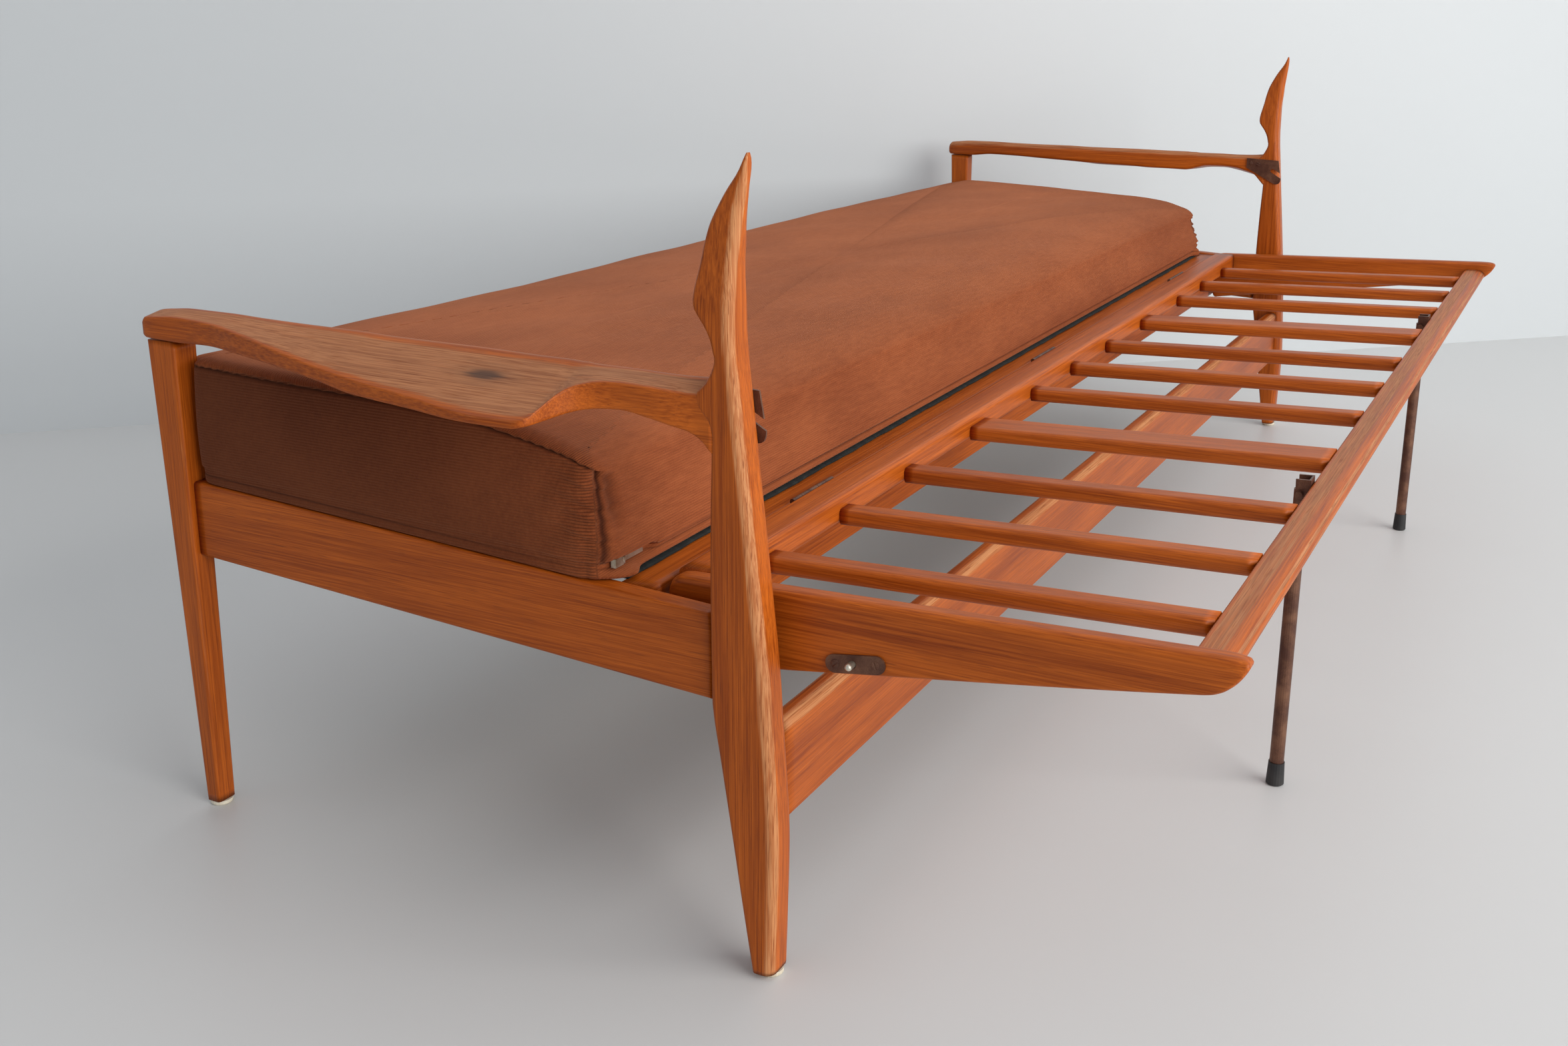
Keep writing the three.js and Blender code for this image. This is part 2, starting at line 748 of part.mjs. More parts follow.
function zipSlider() {
  const halfHeight = sliderHeight / 2;
  const body = box(
    [sliderX - sliderLength / 2, zipY - sliderDepth / 2, zipZ - halfHeight],
    [sliderX + sliderLength / 2, zipY + sliderDepth / 2, zipZ + halfHeight],
  );
  const lugs = [-1, 1].map((side) => {
    const edges = [side * halfHeight, side * (halfHeight - lugThickness)].sort((a, b) => a - b);
    return box(
      [zipPinX - lugDepth / 2, zipY - lugDepth / 2, zipZ + edges[0]],
      [sliderX, zipY + lugDepth / 2, zipZ + edges[1]],
    );
  });
  const pin = new THREE.CylinderGeometry(zipPinRadius, zipPinRadius, sliderHeight, smallSides);
  pin.rotateX(Math.PI / 2).translate(zipPinX, zipY, zipZ);
  return joined([body, ...lugs, pin]);
}

function zipPull() {
  const height = sliderHeight - 2 * (lugThickness + zipPinClearance);
  const eye = new THREE.CylinderGeometry(pullEyeRadius, pullEyeRadius, height, smallSides);
  eye.rotateX(Math.PI / 2).translate(zipPinX, zipY, zipZ);
  const tab = box(
    [zipPinX - pullLength, zipY - pullThickness / 2, zipZ - height / 2],
    [zipPinX, zipY + pullThickness / 2, zipZ + height / 2],
  );
  const boreRadius = zipPinRadius + zipPinClearance;
  const bore = new THREE.CylinderGeometry(boreRadius, boreRadius, height + overrun, smallSides);
  bore.rotateX(Math.PI / 2).translate(zipPinX, zipY, zipZ);
  return cut(joined([eye, tab]), [bore]);
}

// The hinged back has its own frame: y out from the hinge axis, z up from it
const backEndOuter = postInner - backEndGap;
const backEndInner = backEndOuter - backEndThickness;
const backRailEnd = backEndInner - seam;
const innerRailFront = knuckleRadius + seam;
const innerRailBack = innerRailFront + innerRailDepth;
const outerRailBack = backDepth - outerRailInset;
const outerRailFront = outerRailBack - outerRailDepth;

function backEndBottomAt(y) {
  return backRise - sharesAt(backEndShares, y / backDepth)[2] * backEndDrop;
}

function backEndRail() {
  const radii = [backEndRadius / 2, backEndRadius / 2, backEndRadius, backEndRadius];
  const rings = backEndShares.map(([place, topDrop, bottomDrop, width]) => {
    const middle = (backEndInner + backEndOuter) / 2;
    const halfWidth = (backEndThickness * width) / 2;
    const corners = boxRing(
      middle - halfWidth,
      middle + halfWidth,
      backRise - bottomDrop * backEndDrop,
      backRise - topDrop * backEndDrop,
    );
    const ring = roundedRing(corners, radii);
    return ring.map(([x, z]) => new THREE.Vector3(x, place * backDepth, z));
  });
  const { y, z } = catchPlace();
  const from = backEndOuter - studLength - studTravel;
  const bore = rodAlongX(studRadius + studClearance, from, backEndOuter + overrun, y, z);
  return cut(loft(rings), [bore.translate(0, -studSetback, 0)]);
}

function backInnerRail() {
  const corners = boxRing(innerRailFront, innerRailBack, backRise - innerRailThickness, backRise);
  return barAlongX(roundedRing(corners, evenRadii(innerRailRadius)), () => backRailEnd);
}

function backOuterRail() {
  const top = backRise - outerRailDrop;
  const bottom = top - outerRailThickness;
  const corners = [
    [outerRailFront, bottom],
    [outerRailFront + outerRailDepth * outerRailSoleShare, bottom],
    [outerRailBack, top - outerRailThickness * outerRailWaistShare],
    [outerRailFront + outerRailDepth * outerRailFlatShare, top],
    [outerRailFront, top],
  ];
  return barAlongX(roundedRing(corners, outerRailRadii), () => backRailEnd);
}

function backSlat(middle, width) {
  const top = backRise - backSlatDrop;
  const corners = boxRing(middle - width / 2, middle + width / 2, top - backSlatThickness, top);
  const ring = roundedRing(corners, evenRadii(backSlatRadius));
  const rings = [innerRailBack + seam, outerRailFront - seam].map((y) =>
    ring.map(([x, z]) => new THREE.Vector3(x, y, z)),
  );
  return loft(rings);
}

// A hinge leaf hangs from its knuckles: side -1 on the hinge rail, 1 on the back
function hingeLeaf(side) {
  const pitch = hingeLength / knuckleCount;
  const low = side < 0 ? -leafThickness - seam : knuckleRadius - leafThickness;
  const plateTop = -knuckleRadius - 2 * seam;
  const plate = box(
    [-hingeLength / 2, low, -leafHeight],
    [hingeLength / 2, low + leafThickness, plateTop],
  );
  const pieces = [plate];
  for (let index = side < 0 ? 0 : 1; index < knuckleCount; index += 2) {
    const from = index * pitch - hingeLength / 2 + seam;
    const to = from + pitch - 2 * seam;
    pieces.push(rodAlongX(knuckleRadius, from, to));
    pieces.push(box([from, low, plateTop - leafThickness], [to, low + leafThickness, 0]));
  }
  const half = hingeLength / 2;
  if (side < 0) {
    pieces.push(rodAlongX(hingePinRadius, -half + seam, half - seam));
    return joined(pieces);
  }
  const bore = rodAlongX(hingePinRadius + hingePinClearance, -half - overrun, half + overrun);
  return cut(joined(pieces), [bore]);
}

// Middle of the catch plate on an end rail's outer face
function catchPlace() {
  const y = catchPlaceShare * backDepth;
  return { y, z: backEndBottomAt(y) + catchMargin };
}

function catchPlate() {
  const { y, z } = catchPlace();
  const reach = (catchLength - catchWidth) / 2;
  const outline = new THREE.Shape();
  outline.absarc(reach, 0, catchWidth / 2, -Math.PI / 2, Math.PI / 2);
  outline.absarc(-reach, 0, catchWidth / 2, Math.PI / 2, (3 * Math.PI) / 2);
  const hole = new THREE.Path();
  hole.absarc(-studSetback, 0, studRadius + studClearance, 0, 2 * Math.PI);
  outline.holes.push(hole);
  const slope = Math.atan2(backEndBottomAt(y + reach) - backEndBottomAt(y - reach), 2 * reach);
  const plate = plateAcrossX(outline, catchThickness).rotateX(slope);
  return plate.translate(backEndOuter + seam, y, z);
}

function catchStud() {
  const { y, z } = catchPlace();
  const profile = [new THREE.Vector2(0, studProud - studLength)];
  const shoulder = studProud - studRadius;
  profile.push(new THREE.Vector2(studRadius, studProud - studLength));
  for (let step = 0; step < cornerSteps * 2; step++) {
    const angle = (step / (cornerSteps * 2)) * (Math.PI / 2);
    const across = studRadius * Math.cos(angle);
    profile.push(new THREE.Vector2(across, shoulder + studRadius * Math.sin(angle)));
  }
  profile.push(new THREE.Vector2(0, studProud));
  const stud = new THREE.LatheGeometry(profile, roundSides).rotateZ(-Math.PI / 2);
  const face = backEndOuter + seam + catchThickness;
  return stud.translate(face, y - studSetback, z);
}

// Where a catch stud comes to rest when the back is folded up, in the whole's frame
function studCaught() {
  const { y, z } = catchPlace();
  const radius = Math.hypot(y - studSetback, z);
  const angle = Math.atan2(z, y - studSetback) + THREE.MathUtils.degToRad(backTilt + backFold);
  return {
    y: radius * Math.cos(angle) - hingeSetback,
    z: radius * Math.sin(angle) + hingeHeight,
    angle,
  };
}

// A plate on the post's inner side, with a slot that opens backward along the stud's path
function hookPlate() {
  const { y, z, angle } = studCaught();
  const slotRadius = studRadius + hookClearance;
  const outward = new THREE.Vector2(Math.sin(angle), -Math.cos(angle));
  const aside = new THREE.Vector2(Math.cos(angle), Math.sin(angle)).multiplyScalar(slotRadius);
  const edgeAt = (side, across) => {
    const start = aside.clone().multiplyScalar(side);
    return start.addScaledVector(outward, (across - start.x) / outward.x);
  };
  const lower = edgeAt(-1, hookTailBack);
  const upper = edgeAt(1, hookTopBack + hookBottomFront);
  const outline = new THREE.Shape();
  outline.moveTo(-hookFront, hookBottomFront);
  outline.lineTo(hookTailBack - 2 * hookTailRound, -hookTailDrop);
  outline.quadraticCurveTo(
    hookTailBack,
    -hookTailDrop - hookTailRound / 2,
    hookTailBack,
    -hookTailRise - seam,
  );
  outline.lineTo(lower.x, lower.y);
  outline.absarc(0, 0, slotRadius, angle + Math.PI, angle, true);
  outline.lineTo(upper.x, upper.y);
  outline.lineTo(hookTopBack, hookTop - hookTopDrop);
  outline.lineTo(-hookFront, hookTop);
  const plate = plateAcrossX(outline, hookThickness);
  return plate.translate(postInner - seam - hookThickness, y, z);
}

const pivotY = outerRailFront - pivotGap;
const pivotZ = backRise - pivotDrop;

function legBracket(middle) {
  const inner = foldTubeRadius + cheekClearance;
  const outer = inner + cheekThickness;
  const back = outerRailFront - seam;
  const front = back - cheekDepth;
  const top = pivotZ + bracketRise;
  const bottom = top - bracketHeight;
  const cheeks = [-1, 1].map((side) => {
    const faces = [side * inner, side * outer].sort((a, b) => a - b);
    return box([faces[0], front, bottom], [faces[1], back, top]);
  });
  const plate = box([-outer, back - bracketBase, bottom], [outer, back, top]);
  const bolt = rodAlongX(pivotRadius, -outer, outer, pivotY, pivotZ);
  const head = rodAlongX(pivotHeadRadius, outer - seam, outer + pivotHeadLength, pivotY, pivotZ);
  return joined([...cheeks, plate, bolt, head]).translate(middle, 0, 0);
}

// The pivot of a fold-out leg in the whole's frame
function legPivot() {
  return {
    y: pivotY * Math.cos(tilt) - pivotZ * Math.sin(tilt) - hingeSetback,
    z: pivotY * Math.sin(tilt) + pivotZ * Math.cos(tilt) + hingeHeight,
  };
}

function legTube(middle) {
  const { y, z } = legPivot();
  const bottom = footFloor + seam;
  const top = z + foldTubeHead;
  const tube = new THREE.CylinderGeometry(
    foldTubeRadius,
    foldTubeRadius,
    top - bottom,
    roundSides,
  );
  tube.rotateX(Math.PI / 2).translate(0, y, (top + bottom) / 2);
  const half = foldTubeRadius + overrun;
  const bore = rodAlongX(pivotRadius + pivotClearance, -half, half, y, z);
  return cut(tube, [bore]).translate(middle, 0, 0);
}

function legFoot(middle) {
  const socket = foldTubeRadius + seam;
  const profile = [
    [0, 0],
    [footRadius - glideEdge, 0],
    [footRadius, glideEdge],
    [footTopRadius, footHeight],
    [socket, footHeight],
    [socket, footFloor],
    [0, footFloor],
  ];
  const points = profile.map((pair) => new THREE.Vector2(...pair));
  const foot = new THREE.LatheGeometry(points, roundSides).rotateX(Math.PI / 2);
  return foot.translate(middle, legPivot().y, 0);
}

const daybed = new THREE.Group();
const { teak, deck, fabric, underlay, brownSteel, paleSteel, rubber, nylon } = materials;

// End frames, the left one a mirror of the right one
const legMiddle = frameHalf - legFootWidth / 2;
const postMiddle = (frameHalf + postInner) / 2;
const legFootY = legFootSetback + legFootDepth / 2 - frameDepth;
const postFootY = (-(postShares[0][1] + postShares[0][2]) * postReach) / 2;
const backFrame = new THREE.Group();
backFrame.position.set(0, -hingeSetback, hingeHeight);
backFrame.rotation.x = tilt;
for (const side of ["right", "left"]) {
  const mirror = side === "left" ? -1 : 1;
  const end = new THREE.Group();
  end.scale.x = mirror;
  addMesh(end, `front_leg_${side}`, frontLeg(), teak);
  addMesh(end, `back_post_${side}`, backPost(), teak);
  addMesh(end, `arm_${side}`, arm(), teak);
  addMesh(end, `seat_end_rail_${side}`, seatEndRail(), teak);
  addMesh(end, `front_glide_${side}`, glide(legMiddle, legFootY), nylon);
  addMesh(end, `back_glide_${side}`, glide(postMiddle, postFootY), nylon);
  addMesh(end, `hook_plate_${side}`, hookPlate(), brownSteel);
  daybed.add(end);
  const backEnd = new THREE.Group();
  backEnd.scale.x = mirror;
  addMesh(backEnd, `back_end_rail_${side}`, backEndRail(), teak);
  addMesh(backEnd, `catch_plate_${side}`, catchPlate(), brownSteel);
  addMesh(backEnd, `catch_stud_${side}`, catchStud(), paleSteel);
  backFrame.add(backEnd);
}

// Seat
addMesh(daybed, "seat_front_rail", seatFrontRail(), teak);
addMesh(daybed, "seat_hinge_rail", seatHingeRail(), teak);
addMesh(daybed, "back_stretcher", backStretcher(), teak);
addMesh(daybed, "seat_ledger_front", seatLedger(frontRailBack + seam), deck);
addMesh(daybed, "seat_ledger_rear", seatLedger(hingeRailFront - seam - ledgerDepth), deck);
for (let index = 0; index < seatSlatCount; index++) {
  const share = (2 * index) / (seatSlatCount - 1) - 1;
  const middle = share * seatSlatSpanShare * frameHalf;
  addMesh(daybed, `seat_slat_${index + 1}`, seatSlat(middle), deck);
}
addMesh(daybed, "seat_underlay", seatUnderlay(), underlay);
addMesh(daybed, "mattress", mattress(), fabric);
addMesh(daybed, "zip_slider", zipSlider(), paleSteel);
addMesh(daybed, "zip_pull", zipPull(), paleSteel);

// Hinged back
addMesh(backFrame, "back_inner_rail", backInnerRail(), teak);
addMesh(backFrame, "back_outer_rail", backOuterRail(), teak);
const slats = backSlatShares
  .flatMap(([place, width]) => (place ? [[-place, width], [place, width]] : [[place, width]]))
  .sort((a, b) => a[0] - b[0]);
slats.forEach(([place, width], index) => {
  const slat = backSlat(place * backEndInner, width * backSlatWidth);
  addMesh(backFrame, `back_slat_${index + 1}`, slat, teak);
});
daybed.add(backFrame);

// Hinges: both leaves hang straight down from the axis
hingePlaceShares.forEach((share, index) => {
  const name = hingeNames[index];
  const place = [share * backEndInner, -hingeSetback, hingeHeight];
  addMesh(daybed, `hinge_seat_leaf_${name}`, hingeLeaf(-1), brownSteel).position.set(...place);
  const backLeaf = addMesh(backFrame, `hinge_back_leaf_${name}`, hingeLeaf(1), brownSteel);
  backLeaf.position.x = place[0];
});

// Fold-out legs
for (const side of ["right", "left"]) {
  const middle = (side === "left" ? -1 : 1) * legPlaceShare * backEndInner;
  addMesh(backFrame, `leg_bracket_${side}`, legBracket(middle), brownSteel);
  addMesh(daybed, `leg_tube_${side}`, legTube(middle), brownSteel);
  addMesh(daybed, `leg_foot_${side}`, legFoot(middle), rubber);
}

// The origin goes to the middle of the depth
const bounds = new THREE.Box3().setFromObject(daybed, true);
daybed.position.y = -bounds.getCenter(new THREE.Vector3()).y;

export default daybed;
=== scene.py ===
import bpy
import numpy as np
from mathutils import Matrix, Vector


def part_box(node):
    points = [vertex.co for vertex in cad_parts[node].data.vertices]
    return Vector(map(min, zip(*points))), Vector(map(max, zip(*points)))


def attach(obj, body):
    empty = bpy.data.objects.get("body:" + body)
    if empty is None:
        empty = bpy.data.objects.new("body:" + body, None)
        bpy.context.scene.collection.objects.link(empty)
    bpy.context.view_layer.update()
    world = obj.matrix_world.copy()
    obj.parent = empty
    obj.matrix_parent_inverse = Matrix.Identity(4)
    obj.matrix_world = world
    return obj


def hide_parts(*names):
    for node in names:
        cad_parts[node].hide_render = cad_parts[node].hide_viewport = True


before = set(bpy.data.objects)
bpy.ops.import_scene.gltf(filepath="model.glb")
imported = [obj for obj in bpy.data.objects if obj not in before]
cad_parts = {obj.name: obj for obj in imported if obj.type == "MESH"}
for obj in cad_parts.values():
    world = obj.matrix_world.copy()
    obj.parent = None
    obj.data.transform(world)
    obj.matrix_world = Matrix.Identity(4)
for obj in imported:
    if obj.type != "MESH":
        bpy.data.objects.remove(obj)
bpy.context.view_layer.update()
scene = bpy.context.scene
print("frame loaded:", len(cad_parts), "nodes")

# Sizes in the tables below are in millimetres, y from the back posts' heels
heelY = 162.8657
hinge = {"y": -131, "z": 330.9763, "tilt": np.radians(2.1)}
gap = 0.3  # between pieces that meet
sides = (("right", 1), ("left", -1))


def linear(red, green, blue):
    # display colour 0-255 to scene linear
    c = np.array([red, green, blue]) / 255
    c = np.where(c <= 0.04045, c / 12.92, ((c + 0.055) / 1.055) ** 2.4)
    return (*c.tolist(), 1.0)


def inPlace(points):
    # millimetres from the heels to metres in the object's frame
    return (np.asarray(points, float) + (0, heelY, 0)) / 1000


def inBack(points):
    # from the hinged back's own frame: y out from the hinge axis, z up from it
    p = np.asarray(points, float)
    c, s = np.cos(hinge["tilt"]), np.sin(hinge["tilt"])
    y = p[..., 1] * c - p[..., 2] * s + hinge["y"]
    z = p[..., 1] * s + p[..., 2] * c + hinge["z"]
    return inPlace(np.stack([p[..., 0], y, z], -1))


def through(table, places):
    # the rows' values at places in the first column, on cubics whose slope at a row is the
    # harmonic mean of the rises beside it, or 0 where they differ in sign
    rows = np.array(table, float)
    x, y = rows[:, 0], rows[:, 1:]
    step = np.diff(x)[:, None]
    rise = np.diff(y, axis=0) / step
    product = rise[:-1] * rise[1:]
    inner = np.where(product > 0, 2 * product / np.where(product > 0, rise[:-1] + rise[1:], 1), 0)
    slope = np.vstack([rise[:1], inner, rise[-1:]])
    places = np.asarray(places, float)
    k = np.clip(np.searchsorted(x, places) - 1, 0, len(x) - 2)
    t = ((places - x[k]) / (x[k + 1] - x[k]))[:, None]
    return (
        (2 * t**3 - 3 * t**2 + 1) * y[k]
        + (t**3 - 2 * t**2 + t) * step[k] * slope[k]
        + (3 * t**2 - 2 * t**3) * y[k + 1]
        + (t**3 - t**2) * step[k] * slope[k + 1]
    )


cornerSteps = 6
flatShares = np.array([0.1, 0.28, 0.72, 0.9])
longestArc = 0.48  # the share of a side that one corner's arc may take


def rounded(corners, radii):
    # outlines (stations, corners, 2) with each corner an arc, written as the rational curve
    # ((1-q)^2 start + 2 sin(h) q (1-q) corner + q^2 end) / sum, h half the corner's angle,
    # and some points along each flat
    corners = np.asarray(corners, float)
    radii = np.broadcast_to(radii, corners.shape[:-1])
    before = np.roll(corners, 1, -2) - corners
    after = np.roll(corners, -1, -2) - corners
    lengthBefore = np.linalg.norm(before, axis=-1)
    lengthAfter = np.linalg.norm(after, axis=-1)
    before = before / lengthBefore[..., None]
    after = after / lengthAfter[..., None]
    half = np.arccos(np.clip((before * after).sum(-1), -1, 1)) / 2
    back = np.minimum(radii / np.tan(half), longestArc * np.minimum(lengthBefore, lengthAfter))
    start = corners + before * back[..., None]
    end = corners + after * back[..., None]
    q = np.linspace(0, 1, cornerSteps + 1)
    cornerWeight = 2 * np.sin(half)[..., None] * q * (1 - q)
    weights = np.stack(np.broadcast_arrays((1 - q) ** 2, cornerWeight, q**2), -1)
    weights = weights / weights.sum(-1, keepdims=True)
    arcs = np.einsum("...qk,...kc->...qc", weights, np.stack([start, corners, end], -2))
    following = np.roll(start, -1, -2)
    flats = end[..., None, :] + flatShares[:, None] * (following - end)[..., None, :]
    ring = np.concatenate([arcs, flats], -2)
    return ring.reshape(*corners.shape[:-2], -1, 2)


def flatAfter(corner):
    # which points of an outline from rounded() lie on the flat that follows a corner
    start = corner * (cornerSteps + 1 + len(flatShares)) + cornerSteps + 1
    return slice(start, start + len(flatShares))


wearShares = {"arcEnd": 0.55, "flatEnd": 0.3, "flatMiddle": 0.08}


def edgeWear(*corners):
    # wear around an outline from rounded(): full on each corner's arc, fading over the flats
    q = np.linspace(0, 1, cornerSteps + 1)
    arc = wearShares["arcEnd"] + (1 - wearShares["arcEnd"]) * np.sin(np.pi * q)
    fade = np.where(abs(flatShares - 0.5) > 0.3, wearShares["flatEnd"], wearShares["flatMiddle"])
    rows = []
    for here, following in zip(corners, np.roll(corners, -1)):
        flat = np.where(flatShares < 0.5, here, following) * fade
        rows.append(np.concatenate([here * arc, flat]))
    return np.concatenate(rows)[None]


def cornersOf(*pairs):
    pairs = [np.stack(np.broadcast_arrays(*pair), -1) for pair in pairs]
    return np.stack(np.broadcast_arrays(*pairs), -2)


def boxCorners(left, right, bottom, top):
    return cornersOf((left, bottom), (right, bottom), (right, top), (left, top))


def makeMesh(name, points, faces, material, attributes={}):
    mesh = bpy.data.meshes.new(name)
    mesh.from_pydata(np.reshape(points, (-1, 3)).tolist(), [], faces)
    mesh.polygons.foreach_set("use_smooth", [True] * len(mesh.polygons))
    for key, values in attributes.items():
        values = np.asarray(values, np.float32)
        kind, field = ("FLOAT_VECTOR", "vector") if values.shape[-1] == 3 else ("FLOAT", "value")
        mesh.attributes.new(key, kind, "POINT").data.foreach_set(field, values.ravel())
    mesh.update()
    piece = bpy.data.objects.new(name, mesh)
    scene.collection.objects.link(piece)
    mesh.materials.append(material)
    return piece


def closedFaces(rings):
    # quads over rings of points, joined round, with both ends capped, all facing outwards
    rows, columns = rings.shape[:2]
    last = (rows - 1) * columns
    near = np.arange(last).reshape(rows - 1, columns)
    far = np.roll(near, -1, 1)
    quads = np.stack([near, far, far + columns, near + columns], -1).reshape(-1, 4)
    faces = quads.tolist() + [list(range(columns))[::-1], list(range(last, last + columns))]
    # the volume that the quads enclose is negative if they face inwards
    a, b, c, d = (rings.reshape(-1, 3)[quads[:, k]] for k in range(4))
    volume = np.einsum("ij,ij->i", a, np.cross(b, c)) + np.einsum("ij,ij->i", a, np.cross(c, d))
    return faces if volume.sum() > 0 else [face[::-1] for face in faces]


woodSeeds = np.random.default_rng(7)
# where in the endless grain each piece is cut: along it, and off its heart both ways, in metres
cutPlaces = ((-3, 0.05, -0.03), (3, 0.13, 0.03))


def timber(name, rings, along, wear, body, node, material):
    # a wooden piece over rings (stations, points, 3), with its grain along an axis
    stations, count = rings.shape[:2]
    flat = rings.reshape(-1, 3)
    order = [along] + [axis for axis in range(3) if axis != along]
    grain = (flat - flat.mean(0))[:, order] + woodSeeds.uniform(*cutPlaces)
    wear = np.broadcast_to(wear, (stations, count)).reshape(-1, 1)
    piece = makeMesh(name, flat, closedFaces(rings), material, {"grain": grain, "wear": wear})
    weighted = piece.modifiers.new("normals", "WEIGHTED_NORMAL")
    weighted.weight = 80
    weighted.keep_sharp = False
    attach(piece, body)
    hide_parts(node)
    return piece


def put(tree, kind, inputs={}, **settings):
    # one shader node: settings are its own values, inputs are numbers or other nodes' outputs
    made = tree.nodes.new("ShaderNode" + kind)
    for key, value in settings.items():
        setattr(made, key, value)
    for key, value in inputs.items():
        if isinstance(value, bpy.types.NodeSocket):
            tree.links.new(value, made.inputs[key])
        else:
            made.inputs[key].default_value = value
    return made


def sums(tree, operation, *values):
    return put(tree, "Math", dict(enumerate(values)), operation=operation).outputs[0]


def summed(tree, start, *parts):
    # start plus each part, an output and how much of it
    for output, share in parts:
        start = sums(tree, "MULTIPLY_ADD", output, share, start)
    return start


def ramp(tree, value, low, high, toLow=0.0, toHigh=1.0):
    inputs = {"Value": value, "From Min": low, "From Max": high, "To Min": toLow, "To Max": toHigh}
    return put(tree, "MapRange", inputs, interpolation_type="SMOOTHSTEP").outputs[0]


def blended(tree, share, first, second):
    # 0, 6, 7 and 2 are the colour sockets among all those of the node
    inputs = {0: share, 6: first, 7: second}
    return put(tree, "Mix", inputs, data_type="RGBA").outputs[2]


def noise(tree, place, scale, detail, roughness):
    inputs = {"Vector": place, "Scale": scale, "Detail": detail, "Roughness": roughness}
    return put(tree, "TexNoise", inputs).outputs[0]


def stretched(tree, place, x, y, z):
    made = put(tree, "VectorMath", {0: place, 1: (x, y, z)}, operation="MULTIPLY")
    return made.outputs[0]


def newMaterial(name):
    material = bpy.data.materials.new(name)
    material.use_nodes = True
    tree = material.node_tree
    shader = tree.nodes["Principled BSDF"]
    return material, tree, shader


# waves per metre along and across the grain, then the noise's detail and roughness
woodNoises = {
    "fibres": (9, 700, 4, 0.62),
    "streaks": (5, 230, 3, 0.6),
    "bands": (1.5, 34, 3, 0.55),
    "pores": (34, 1300, 2, 0.5),
    "ragged": (14, 420, 3, 0.6),
    "patches": (5, 30, 3, 0.6),
    "openPores": (26, 900, 2, 0.5),
}
# how much of each noise goes into tone, wear, roughness and relief, and where each ramp runs
woodMix = {
    "tone": {"fibres": 0.5, "streaks": 0.14, "bands": 0.36, "ramp": (0.32, 0.68)},
    "pores": (0.6, 0.7),
    "worn": {"ragged": 0.5, "patches": 0.28, "ramp": (0.46, 0.74)},
    "bare": {"ramp": (0.34, 0.66), "pores": (0.56, 0.68), "poreShare": 0.7},
    "knot": {"ragged": 1.6, "halo": (2.6, 0.7, 0.0, 0.3), "core": (1.1, 0.2, 0.0, 0.75)},
    "rough": {"fibres": 0.14, "worn": 0.2},
    "relief": {"fibres": 0.4, "pores": -0.5, "openPores": -1.4},
    "coatRoughness": 0.3,
    "bump": {"Strength": 0.25, "Distance": 0.0003},
}


def woodMaterial(name, look):
    # oiled wood: fine fibres over broad soft bands, short open pores, and a paler, rougher
    # surface along streaks where the finish has worn off; where the wear share is high over a top,
    # that paler surface is also a painted sheen
    material, tree, shader = newMaterial(name)
    grain = put(tree, "Attribute", attribute_name="grain").outputs["Vector"]
    wear = put(tree, "Attribute", attribute_name="wear").outputs["Fac"]
    n = {}
    for key, (along, across, detail, roughness) in woodNoises.items():
        n[key] = noise(tree, stretched(tree, grain, along, across, across), 1, detail, roughness)
    mix = woodMix["tone"]
    tone = summed(tree, 0, *((n[key], mix[key]) for key in ("fibres", "streaks", "bands")))
    colour = blended(tree, ramp(tree, tone, *mix["ramp"]), look["deep"], look["light"])
    pores = ramp(tree, n["pores"], *woodMix["pores"])
    colour = blended(tree, sums(tree, "MULTIPLY", pores, look["poreShare"]), colour, look["pore"])
    mix = woodMix["worn"]
    parts = ((sums(tree, "SUBTRACT", n[key], 0.5), mix[key]) for key in ("ragged", "patches"))
    worn = ramp(tree, summed(tree, wear, *parts), *mix["ramp"])
    mix = woodMix["bare"]
    bare = blended(tree, ramp(tree, n["fibres"], *mix["ramp"]), look["bareDeep"], look["bare"])
    openPores = ramp(tree, n["openPores"], *mix["pores"])
    share = sums(tree, "MULTIPLY", openPores, mix["poreShare"])
    bare = blended(tree, share, bare, look["barePore"])
    colour = blended(tree, sums(tree, "MULTIPLY", worn, look["wornShare"]), colour, bare)
    if "knot" in look:
        mix, knot = woodMix["knot"], look["knot"]
        here = put(tree, "TexCoord").outputs["Object"]
        away = put(tree, "VectorMath", {0: here, 1: knot["place"]}, operation="SUBTRACT").outputs[0]
        away = stretched(tree, away, *(1 / size for size in knot["sizes"]))
        reach = put(tree, "VectorMath", {0: away}, operation="LENGTH").outputs["Value"]
        ragged = sums(tree, "SUBTRACT", n["streaks"], 0.5)
        reach = summed(tree, reach, (ragged, mix["ragged"]))
        colour = blended(tree, ramp(tree, reach, *mix["halo"]), colour, knot["halo"])
        colour = blended(tree, ramp(tree, reach, *mix["core"]), colour, knot["colour"])
    tree.links.new(colour, shader.inputs["Base Color"])
    mix = woodMix["rough"]
    start = look["roughness"] - mix["fibres"] / 2
    rough = summed(tree, start, (n["fibres"], mix["fibres"]), (worn, mix["worn"]))
    tree.links.new(rough, shader.inputs["Roughness"])
    shader.inputs["Specular IOR Level"].default_value = look["specular"]
    shader.inputs["Coat Weight"].default_value = look["coat"]
    shader.inputs["Coat Roughness"].default_value = woodMix["coatRoughness"]
    mix = woodMix["relief"]
    wornPores = sums(tree, "MULTIPLY", openPores, worn)
    parts = (n["fibres"], mix["fibres"]), (pores, mix["pores"]), (wornPores, mix["openPores"])
    relief = summed(tree, 0, *parts)
    bump = put(tree, "Bump", {**woodMix["bump"], "Height": relief})
    tree.links.new(bump.outputs[0], shader.inputs["Normal"])
    return material


